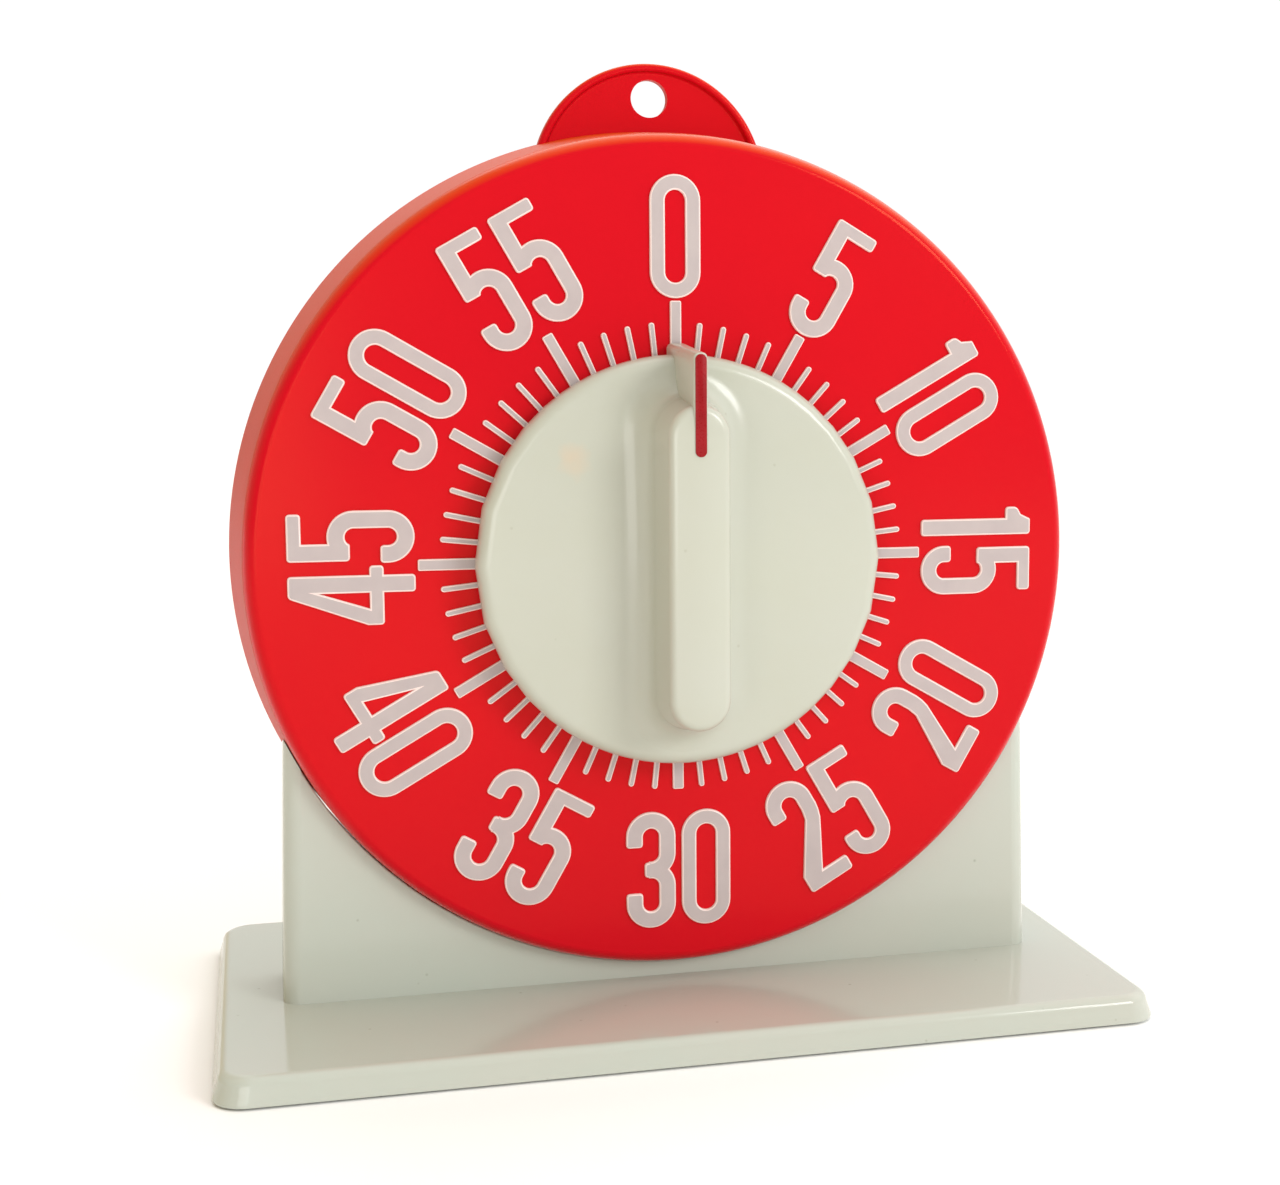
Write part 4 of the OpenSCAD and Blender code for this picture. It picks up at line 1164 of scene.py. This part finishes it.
@dataclass
class WinderKnob:
    """The cream knob: a domed disc with a rolled edge, a grip bar that flows into it and a pointer.

    Attributes:
        dial: Where the dial lies.
        radius: Radius of the disc.
        gap: Clearance under the disc.
        edge_height: Height of the disc's face at its edge.
        edge_round: Radius of the rolled edge.
        waist: Height at which the skirt is widest.
        dome: Rise of the face from its edge to its middle.
        wall: Wall thickness.
        grip_width: Width of the grip at its front.
        grip_length: Length of the grip.
        grip_height: Height of the grip's front above the dial.
        grip_flare: How much wider the grip is at its foot, on each side.
        grip_round: Radius of the rounding round the grip's front.
        crown: Rise of the grip's front from its edge to its middle.
        blend: Height of the hollow where the grip meets the face.
        blend_spread: Width of that hollow, as a share of its height.
        lip: Rounding of the skirt's lower edge.
        skirt_lean: How far the skirt leans in below its widest part.
        hub_radius: Radius of the hub inside.
        hub_depth: Depth of the arbor's bore.
        bore: Radius of the bore.
        fin_thickness: Thickness of the pointer at its front.
        fin_flare: How much thicker the pointer is at its foot.
        fin_start: Distance from the axis at which the pointer starts on the grip.
        fin_end: Distance from the axis at which its front ends.
        fin_rake: How much further its foot reaches.
        fin_round: Radius of the pointer's upright edges.
        bend_steps: Steps along each round end of the grip.
        run_steps: Steps along each straight side of the grip.
    """

    dial: DialFrame
    radius: float = 44.5 * MM
    gap: float = 1.2 * MM
    edge_height: float = 9 * MM
    edge_round: float = 3 * MM
    waist: float = 4.3 * MM
    dome: float = 1.3 * MM
    wall: float = 2.2 * MM
    grip_width: float = 13.1 * MM
    grip_length: float = 68.5 * MM
    grip_height: float = 25.4 * MM
    grip_flare: float = 1.3 * MM
    grip_round: float = 1.8 * MM
    crown: float = 0.35 * MM
    blend: float = 5.2 * MM
    blend_spread: float = 1.15
    lip: float = 0.5 * MM
    skirt_lean: float = 0.35 * MM
    hub_radius: float = 6.4 * MM
    hub_depth: float = 13 * MM
    bore: float = 3.1 * MM
    fin_thickness: float = 3 * MM
    fin_flare: float = 1.5 * MM
    fin_start: float = 23.45 * MM
    fin_end: float = 44.9 * MM
    fin_rake: float = 2 * MM
    fin_round: float = 1.2 * MM
    bend_steps: int = 36
    run_steps: int = 14

    def face_height(self, point: Point) -> float:
        """Gives the height of the domed face under a point."""
        flat = self.radius - self.edge_round
        share = min(1.0, math.hypot(*point) / flat)
        return self.edge_height + self.dome * (1 - share * share)

    def grip_rings(self) -> list[list[Vector]]:
        """Gives the rings from the middle of the grip's front down to the face."""
        half, reach = self.grip_width / 2, (self.grip_length - self.grip_width) / 2
        inner, round_over = half - self.grip_round, self.grip_round
        shares = [k / 4 for k in range(5)]
        levels = [(inner * share, self.grip_height - self.crown * share**2) for share in shares]
        top = self.grip_height - self.crown
        levels += [(inner + round_over * out, top - round_over * drop) for out, drop in quarter(6)]
        foot = self.edge_height + self.dome * 0.7
        wall_top, wall_low = top - round_over, foot + self.blend
        shares = [k / 6 for k in range(1, 7)]
        levels += [
            (half + self.grip_flare * share, wall_top + (wall_low - wall_top) * share) for share in shares
        ]
        rings = [self.grip_ring(width, reach, height) for width, height in levels]
        steps = 10
        for k, (fall, spread) in enumerate(quarter(steps), 1):
            width = half + self.grip_flare + self.blend * self.blend_spread * spread
            outline = stadium_ring(width, reach, self.bend_steps, self.run_steps)
            lift, settle = self.blend * (1 - fall), k / steps
            rings.append([
                Vector((x, y, foot * (1 - settle) + self.face_height((x, y)) * settle + lift))
                for x, y in outline
            ])
        return rings

    def grip_ring(self, width: float, reach: float, height: float) -> list[Vector]:
        """Gives one level ring of the grip."""
        outline = stadium_ring(width, reach, self.bend_steps, self.run_steps)
        return [Vector((x, y, height)) for x, y in outline]

    def circle(self, radius: float, height: float) -> list[Vector]:
        """Gives a round ring whose points line up with the grip's."""
        wide = self.grip_width / 2 + self.grip_flare + self.blend * self.blend_spread
        reach = (self.grip_length - self.grip_width) / 2
        outline = stadium_ring(wide, reach, self.bend_steps, self.run_steps)
        corner = math.atan2(reach, wide)
        ring = []
        for x, y in outline:
            angle = math.atan2(y, x)
            if abs(y) > reach:
                side = 1 if y > 0 else -1
                local = math.atan2(abs(y) - reach, x)
                angle = side * (corner + (math.pi - 2 * corner) * local / math.pi)
            ring.append(Vector((radius * math.cos(angle), radius * math.sin(angle), height)))
        return ring

    def disc_rings(self, start: Sequence[Vector]) -> list[list[Vector]]:
        """Gives the rings from the grip's foot over the face and edge to the bore inside."""
        flat = self.radius - self.edge_round
        rim = self.circle(flat, 0)
        rings = []
        steps = 6
        for k in range(1, steps + 1):
            share = k / steps
            ring = [a.lerp(b, share) for a, b in zip(start, rim)]
            rings.append([Vector((p.x, p.y, self.face_height((p.x, p.y)))) for p in ring])
        for out, drop in quarter(9):
            height = self.edge_height - self.edge_round * drop
            rings.append(self.circle(flat + self.edge_round * out, height))
        skirt, lip = self.radius - self.skirt_lean, self.lip
        rings += [self.circle(self.radius, self.waist), self.circle(skirt, self.gap + lip)]
        rings += [
            self.circle(skirt - lip * inset, self.gap + lip * (1 - fall)) for fall, inset in quarter(4)
        ]
        inside = self.radius - self.wall
        ceiling = self.edge_height - self.wall
        turns = [
            (inside, self.gap), (inside, ceiling), (self.hub_radius, ceiling), (self.hub_radius, self.gap),
            (self.bore, self.gap), (self.bore, self.hub_depth + 0.2 * MM),
        ]
        return rings + [self.circle(*turn) for turn in turns]

    def fin(self) -> Object:
        """Builds the pointer, a thin plate with rounded edges that widens to its foot."""
        rings = []
        for inset, z in (
            (0.3 * MM, self.gap), (0.0, self.gap + 0.3 * MM), (0.0, self.grip_height - 0.55 * MM),
            (0.08 * MM, self.grip_height - 0.25 * MM), (0.3 * MM, self.grip_height - 0.04 * MM),
        ):
            share = 1 - (z - self.gap) / (self.grip_height - self.gap)
            low, high = self.fin_start, self.fin_end + self.fin_rake * share
            half = (self.fin_thickness + self.fin_flare * share) / 2
            ring = rounded_rect_ring(half - inset, (high - low) / 2 - inset, self.fin_round - inset, 6)
            rings.append([Vector((x, (low + high) / 2 + y, z)) for x, y in ring])
        return loft("pointer_fin", rings)

    def knob(self) -> Object:
        """Builds and dresses the knob."""
        rings = self.grip_rings()
        rings += self.disc_rings(rings[-1])
        body = loft("winding_knob", rings)
        body = combine(body, Cut.ADD, [self.fin()])
        close_up(body.data)
        shade(body.data, 40)
        self.dial.place(body)
        dress(body, KNOB_CREAM)
        return mount(body, KNOB_BODY, "cream_plastic", "knob")

    def inlay(self) -> Object:
        """Builds the red inlay on the pointer, with rounded ends."""
        low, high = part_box("pointer_inlay")
        half_x, half_y = (high.x - low.x) / 2, (high.z - low.z) / 2
        thick = high.y - low.y
        sunk = 0.3 * MM
        levels = ((0.0, -sunk), (0.0, thick - 0.12 * MM), (0.05 * MM, thick - 0.03 * MM), (0.14 * MM, thick))
        rings = []
        for inset, z in levels:
            ring = rounded_rect_ring(half_x - inset, half_y - inset, half_x - inset - 0.02 * MM, 8)
            rings.append([Vector((x, y, z)) for x, y in ring])
        piece = loft("pointer_stripe", rings)
        middle = self.dial.seen_from_dial(Vector(((low.x + high.x) / 2, high.y, (low.z + high.z) / 2)))
        piece.data.transform(Matrix.Translation((middle.x, middle.y, self.grip_height)))
        shade(piece.data)
        self.dial.place(piece)
        dress(piece, FOIL_RED)
        return mount(piece, KNOB_BODY, "red_foil", "pointer_inlay")

    def build(self) -> None:
        """Builds the knob and its inlay."""
        self.knob()
        self.inlay()


@dataclass
class Stand:
    """The pedestal with its saddle, the base plate under it and the rubber feet.

    Attributes:
        lathe: Turns the feet.
        setter: Sets the feet.
        saddle_edge: Rounding of the edge round the saddle.
        block_corner: Radius of the pedestal's upright corners.
        draft: How far the pedestal's sides lean in, in degrees.
        corner: Radius of the base plate's corners.
        flare: How far the plate's foot stands out past its upper edge.
        round_over: Radius of the plate's upper edge.
        foot_edge: Rounding of the feet.
    """

    lathe: Lathe
    setter: Setter
    saddle_edge: float = 0.45 * MM
    block_corner: float = 4.1 * MM
    draft: float = 1.5
    corner: float = 7.0 * MM
    flare: float = 0.95 * MM
    round_over: float = 2.3 * MM
    foot_edge: float = 0.6 * MM

    def block_skin(self) -> Object:
        """Builds the pedestal's outer form: leaning sides with soft corners."""
        low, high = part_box("pedestal")
        half_x, half_y, top = (high.x - low.x) / 2, (high.y - low.y) / 2, 0.8 * MM
        lean = math.tan(math.radians(self.draft))
        levels = [(0.0, low.z - 0.01 * MM), (0.0, (low.z + high.z) / 2), (0.0, high.z - top)]
        levels += [(top * inset, high.z - top * (1 - up)) for up, inset in quarter(5)]
        rings = []
        for inset, z in levels:
            width = half_x - max(0.0, z - low.z) * lean - inset
            ring = rounded_rect_ring(width, half_y - inset, self.block_corner - inset, 14)
            rings.append([Vector((x, y, z)) for x, y in ring])
        return loft("block_skin", rings)

    def round_saddle(self, work: BMesh) -> None:
        """Rounds the edge between the saddle and the pedestal's front and back."""
        edges = []
        for edge in work.edges:
            if len(edge.link_faces) != 2:
                continue
            across, upward = sorted((face.normal for face in edge.link_faces), key=lambda way: -abs(way.y))
            if abs(across.y) > 0.99 and abs(upward.y) < 0.5 and upward.z > 0.2:
                edges.append(edge)
        bmesh.ops.bevel(
            work, geom=edges, offset=self.saddle_edge, segments=3, profile=0.5, affect="EDGES",
            clamp_overlap=False,
        )

    def pedestal(self) -> Object:
        """Gives the pedestal its soft outside and rounds the edge of its saddle."""
        piece = combine(node_copy("pedestal", "pedestal_block"), Cut.KEEP_SHARED, [self.block_skin()])
        close_up(piece.data, 0.001 * MM)
        edit(piece.data, self.round_saddle)
        shade(piece.data, 38)
        piece = dress(even_normals(piece), STAND_CREAM)
        return mount(piece, ROOT_BODY, "stand_plastic", "pedestal")

    def plate_skin(self) -> Object:
        """Builds the plate's outer form: flared sides and a soft upper edge."""
        low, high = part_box("base_plate")
        half_x, half_y = (high.x - low.x) / 2, (high.y - low.y) / 2
        radius, top = self.round_over, high.z
        levels = [
            (0.35 * MM, low.z - 0.01 * MM), (0.1 * MM, low.z + 0.12 * MM), (0.03 * MM, low.z + 0.5 * MM)
        ]
        levels += [(self.flare * share, low.z + 0.5 * MM + (top - radius - low.z - 0.5 * MM) * share)
                   for share in (0.33, 0.66, 1.0)]
        levels += [(self.flare + radius * inset, top - radius * (1 - up)) for up, inset in quarter(8)]
        rings = []
        for inset, z in levels:
            ring = rounded_rect_ring(half_x - inset, half_y - inset, self.corner - inset * 0.5, 12)
            rings.append([Vector((x, y, z)) for x, y in ring])
        return loft("base_skin", rings)

    def base(self) -> Object:
        """Gives the base plate its soft outside, and keeps its ribs and sockets."""
        piece = combine(node_copy("base_plate", "base_slab"), Cut.KEEP_SHARED, [self.plate_skin()])
        close_up(piece.data, 0.001 * MM)
        shade(piece.data, 30)
        piece = dress(even_normals(piece), STAND_CREAM)
        return mount(piece, ROOT_BODY, "stand_plastic", "base_plate")

    def feet(self) -> Object:
        """Sets four rubber feet, each with a rounded edge and a shallow dish."""
        boxes = solid_boxes("rubber_feet")
        low, high = boxes[0]
        radius, tall, edge = (high.x - low.x) / 2, high.z - low.z, self.foot_edge
        dish = 0.4 * MM
        outline = [
            (0.0, tall), (radius, tall), *arc((radius - edge, edge), (edge, edge), 0, -90, 5),
            (radius * 0.55, 0.0), (radius * 0.48, dish), (0.0, dish),
        ]
        foot = self.lathe.turn("foot_pattern", outline, 48, BLACK_RUBBER.material())
        seats = [Seat(Vector(((a.x + b.x) / 2, (a.y + b.y) / 2, a.z)), Vector((0, 0, 1))) for a, b in boxes]
        piece = self.setter.set("feet", foot, seats, BLACK_RUBBER.material())
        discard(foot)
        dress(piece, BLACK_RUBBER)
        return mount(piece, ROOT_BODY, "black_rubber", "rubber_feet")

    def build(self) -> None:
        """Builds the three parts of the stand."""
        self.pedestal()
        self.base()
        self.feet()


@dataclass
class BackCover:
    """The cover at the back, with its sound slots.

    Attributes:
        edge: Rounding of its edges.
    """

    edge: float = 0.3 * MM

    def build(self) -> Object:
        """Rounds the edges of the cover and its slots."""
        piece = soften(node_copy("back_cover", "rear_cover"), self.edge, 2, 40)
        close_up(piece.data, 0.001 * MM)
        shade(piece.data, 38)
        piece = dress(even_normals(piece), COVER_CREAM)
        return mount(piece, ROOT_BODY, "cover_plastic", "back_cover")


@dataclass(frozen=True)
class ScrewKind:
    """One kind of screw.

    Attributes:
        node: Frame node that holds the screws.
        head_radius: Radius of the head.
        head_height: Height of the head.
        shank_radius: Radius of the shank.
        outward: Way in which the head points, or None if it points away from the dial's axis.
    """

    node: str
    head_radius: float
    head_height: float
    shank_radius: float
    outward: Vector | None


@dataclass
class Fasteners:
    """Every screw: pan heads with a cross recess and a rolled thread.

    Attributes:
        dial: Where the dial lies.
        lathe: Turns the screws.
        setter: Sets the screws.
        pitch: Pitch of the thread.
        thread: Depth of the thread.
        slot: Width of the recess.
        recess_floor: Height of the recess's floor, as a share of the head's height.
        recess_reach: Reach of the recess, as a share of the head's radius.
    """

    dial: DialFrame
    lathe: Lathe
    setter: Setter
    pitch: float = 0.8 * MM
    thread: float = 0.22 * MM
    slot: float = 0.7 * MM
    recess_floor: float = 0.45
    recess_reach: float = 0.6
    kinds: list[ScrewKind] = field(default_factory=lambda: [
        ScrewKind("cover_screws", 3 * MM, 1.6 * MM, 1.25 * MM, Vector((0, 1, 0))),
        ScrewKind("pillar_screws", 2.6 * MM, 1.3 * MM, 1.25 * MM, Vector((0, 1, 0))),
        ScrewKind("movement_screws", 2.6 * MM, 1.3 * MM, 1.25 * MM, Vector((0, 1, 0))),
        ScrewKind("bell_screw", 4 * MM, 1.6 * MM, 1.25 * MM, Vector((0, 1, 0))),
        ScrewKind("base_screws", 3 * MM, 1.6 * MM, 1.25 * MM, Vector((0, 0, -1))),
        ScrewKind("case_screws", 3 * MM, 1.6 * MM, 1.25 * MM, None),
    ])

    def pattern(self, kind: ScrewKind, length: float) -> Object:
        """Builds one screw with the underside of its head at the origin.

        Args:
            kind: Sizes of the screw.
            length: Length of the shank.

        Returns:
            The screw, with its head along +z.
        """
        head, tall, shank = kind.head_radius, kind.head_height, kind.shank_radius
        crown = arc((head - tall * 0.75, tall * 0.25), (tall * 0.75, tall * 0.75), 0, 90, 6)
        outline: list[Point] = [(0.0, tall), *reversed(crown), (head, 0.0), (shank, 0.0)]
        turns = int((length - shank) / self.pitch)
        for k in range(turns):
            z = -self.pitch * k - 0.2 * MM
            outline += [(shank, z), (shank - self.thread, z - self.pitch / 2)]
        outline += [(shank - self.thread, -length + shank * 0.8), (0.0, -length)]
        body = self.lathe.turn(kind.node + "_pattern", outline, 28, ZINC_SCREW.material())
        reach = head * self.recess_reach
        recess = []
        for half_x, half_y in ((reach, self.slot / 2), (self.slot / 2, reach)):
            ring = rounded_rect_ring(half_x, half_y, 0.08 * MM, 1)
            heights = (tall * self.recess_floor, tall * 1.2)
            recess.append(loft("recess", [[Vector((x, y, z)) for x, y in ring] for z in heights]))
        body = combine(body, Cut.REMOVE, recess)
        close_up(body.data)
        return body

    def seats(self, kind: ScrewKind) -> tuple[list[Seat], float]:
        """Finds where each screw of a kind sits, and how long its shank is.

        Args:
            kind: The kind of screw.

        Returns:
            The seats, and the length of the shank.
        """
        seats, lengths = [], []
        for k, (low, high) in enumerate(solid_boxes(kind.node)):
            middle = (low + high) / 2
            twist = 0.6 * k + 0.3
            if kind.outward is not None:
                way = kind.outward
                span = abs((high - low).dot(way))
                seats.append(Seat(middle + way * (span / 2 - kind.head_height), way, twist))
                lengths.append(span - kind.head_height)
                continue
            way, span = self.radial(kind, middle, high - low)
            seats.append(Seat(middle + way * self.slide(kind, middle, way), way, twist))
            lengths.append(span - kind.head_height)
        return seats, min(lengths)

    def radial(self, kind: ScrewKind, middle: Vector, size: Vector) -> tuple[Vector, float]:
        """Gives the way out from the dial's axis and the length of a slanted screw."""
        way = Vector((middle.x - self.dial.centre.x, 0, middle.z - self.dial.centre.z)).normalized()
        span = (size.x - 2 * kind.head_radius * abs(way.z)) / abs(way.x)
        return way, span

    def slide(self, kind: ScrewKind, middle: Vector, way: Vector) -> float:
        """Gives the way from a slanted screw's middle to the underside of its head."""
        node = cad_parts[kind.node].data
        reach = max((v.co - middle).dot(way) for v in node.vertices if (v.co - middle).dot(way) < 20 * MM
                    and (v.co.x > self.dial.centre.x) == (middle.x > self.dial.centre.x))
        return reach - kind.head_height

    def build(self) -> None:
        """Builds and sets every kind of screw."""
        for kind in self.kinds:
            seats, length = self.seats(kind)
            pattern = self.pattern(kind, length)
            name = kind.node.replace("screw", "fixing")
            piece = self.setter.set(name, pattern, seats, ZINC_SCREW.material())
            discard(pattern)
            dress(piece, ZINC_SCREW)
            mount(piece, ROOT_BODY, "screw_steel", kind.node)


@dataclass
class Movement:
    """The clockwork and bell inside, whose frame shapes are right and take their metals here.

    Attributes:
        metals: Finish of each group of frame nodes.
    """

    metals: dict[str, Finish] = field(default_factory=lambda: {
        "front_plate back_plate plate_pillars hammer_arm": BRUSHED_PLATE,
        "winding_arbor second_arbor third_arbor escape_arbor pallet_arbor hammer_arbor": TURNED_STEEL,
        "stop_pin stop_post spring_post hammer_stop": TURNED_STEEL,
        "mainspring click_spring knob_clip click ratchet_wheel ring_cam": BLUED_SPRING,
        "main_wheel second_wheel third_wheel escape_wheel pallet_lever": STAMPED_BRASS,
        "click_rivet hammer_head bell_post arbor_bushing": STAMPED_BRASS,
        "bell": PLATED_BELL,
        "dial_washer": PRESSED_FELT,
    })

    def build(self) -> None:
        """Dresses every frame node that is still shown."""
        for nodes, finish in self.metals.items():
            for node in nodes.split():
                dress(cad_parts[node], finish)
                log.info("%s: %s", node, finish.name)


@dataclass
class Studio:
    """The floor, light and camera.

    Attributes:
        floor_half: Half the width of the floor.
        place: Place of the camera.
        pitch: Tilt of the camera from straight down, in degrees.
        yaw: Turn of the camera about the vertical, in degrees.
        roll: Turn of the camera about its own axis, in degrees.
        lens: Focal length, in the camera's own units.
        shift: Shift of the picture, sideways and up.
        dim_front: Strength of the light from the viewer's side.
        bright_back: Strength of the light from behind the timer.
        warm_top: Light from above.
        warm_left: Light from the left.
    """

    floor_half: float = 4.0
    dim_front: float = 0.5
    bright_back: float = 1.03
    warm_top: tuple[float, float, float, float] = (1.8, 1.79, 1.76, 1)
    warm_left: tuple[float, float, float, float] = (0.78, 0.64, 0.44, 1)
    place: tuple[float, float, float] = (-88.3 * MM, -438.9 * MM, 146.7 * MM)
    pitch: float = 83.08
    yaw: float = -15.6
    roll: float = 0.12
    lens: float = 55.3
    shift: Point = (-0.1292, -0.0008)

    def floor(self) -> None:
        """Lays the pale floor."""
        half = self.floor_half
        mesh = bpy.data.meshes.new("studio_floor")
        corners = [(-half, -half, 0), (half, -half, 0), (half, half, 0), (-half, half, 0)]
        mesh.from_pydata(corners, [], [(0, 1, 2, 3)])
        dress(new_object("studio_floor", mesh), FLOOR_WHITE)

    def world(self) -> None:
        """Surrounds the timer with a white room: dim behind the viewer, warm above and at the left."""
        world = bpy.data.worlds.new("studio")
        world.use_nodes = True
        tree = world.node_tree
        tree.nodes.clear()
        way = add_node(tree, "ShaderNodeTexCoord").outputs["Generated"]
        axes = add_node(tree, "ShaderNodeSeparateXYZ", {0: way}).outputs
        above = self.ramp(tree, axes[2], (0.25, 0.7))
        left = self.ramp(tree, axes[0], (-0.14, -0.3))
        deep = self.ramp(tree, axes[1], (-0.75, 0.1))
        colour: Any = WHITE
        for mask, light in ((above, self.warm_top), (left, self.warm_left)):
            mixed = add_node(tree, "ShaderNodeMix", {0: mask, 6: colour, 7: light}, data_type="RGBA")
            colour = mixed.outputs[2]
        levels = {"Value": deep, "To Min": self.dim_front, "To Max": self.bright_back}
        strength = add_node(tree, "ShaderNodeMapRange", levels).outputs[0]
        glow = add_node(tree, "ShaderNodeBackground", {"Color": colour, "Strength": strength})
        add_node(tree, "ShaderNodeOutputWorld", {"Surface": glow.outputs[0]})
        bpy.context.scene.world = world

    def ramp(self, tree: NodeTree, value: NodeSocket, span: Point) -> NodeSocket:
        """Adds a smooth rise from 0 to 1 as a value goes from one end of a span to the other."""
        values = {"Value": value, "From Min": span[0], "From Max": span[1]}
        return add_node(tree, "ShaderNodeMapRange", values, interpolation_type="SMOOTHSTEP").outputs[0]

    def lamp(self, name: str, place: Sequence[float], size: Point, power: float) -> None:
        """Hangs one soft light that points at the dial.

        Args:
            name: Name of the light.
            place: Where it hangs.
            size: Its width and height.
            power: Its power, in watts.
        """
        light = bpy.data.lights.new(name, "AREA")
        light.shape = "RECTANGLE"
        light.size, light.size_y = size
        light.energy = power
        lamp = bpy.data.objects.new(name, light)
        lamp.location = place
        aim = Vector((0, 0, 0.1)) - Vector(place)
        lamp.rotation_euler = aim.to_track_quat("-Z", "Y").to_euler()
        bpy.context.scene.collection.objects.link(lamp)

    def camera(self) -> None:
        """Sets up the camera."""
        data = bpy.data.cameras.new("view")
        data.lens = self.lens
        data.shift_x, data.shift_y = self.shift
        data.clip_start = 10 * MM
        camera = bpy.data.objects.new("view", data)
        turn = Euler((math.radians(self.pitch), 0, math.radians(self.yaw))).to_matrix()
        turn = turn @ Matrix.Rotation(math.radians(self.roll), 3, "Z")
        camera.rotation_euler = turn.to_euler()
        camera.location = self.place
        bpy.context.scene.collection.objects.link(camera)
        bpy.context.scene.camera = camera

    def build(self) -> None:
        """Builds the whole studio."""
        self.floor()
        self.world()
        self.lamp("key", (0.8, -1.08, 0.65), (0.5, 0.5), 8.6)
        self.lamp("fill", (-0.4, -0.95, 0.15), (0.6, 0.3), 1.7)
        self.camera()
        bpy.context.scene.view_settings.view_transform = "Standard"


def main() -> None:
    """Builds every sub-assembly round the frame."""
    logging.basicConfig(level=logging.INFO, format="%(name)s: %(message)s")
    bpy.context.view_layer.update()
    dial, lathe, setter = DialFrame.from_frame(), Lathe(), Setter()
    Studio().build()
    CaseShell(dial, lathe).build()
    DialPrint(dial).build()
    WinderKnob(dial).build()
    Stand(lathe, setter).build()
    BackCover().build()
    Fasteners(dial, lathe, setter).build()
    Movement().build()


if __name__ == "__main__":
    main()
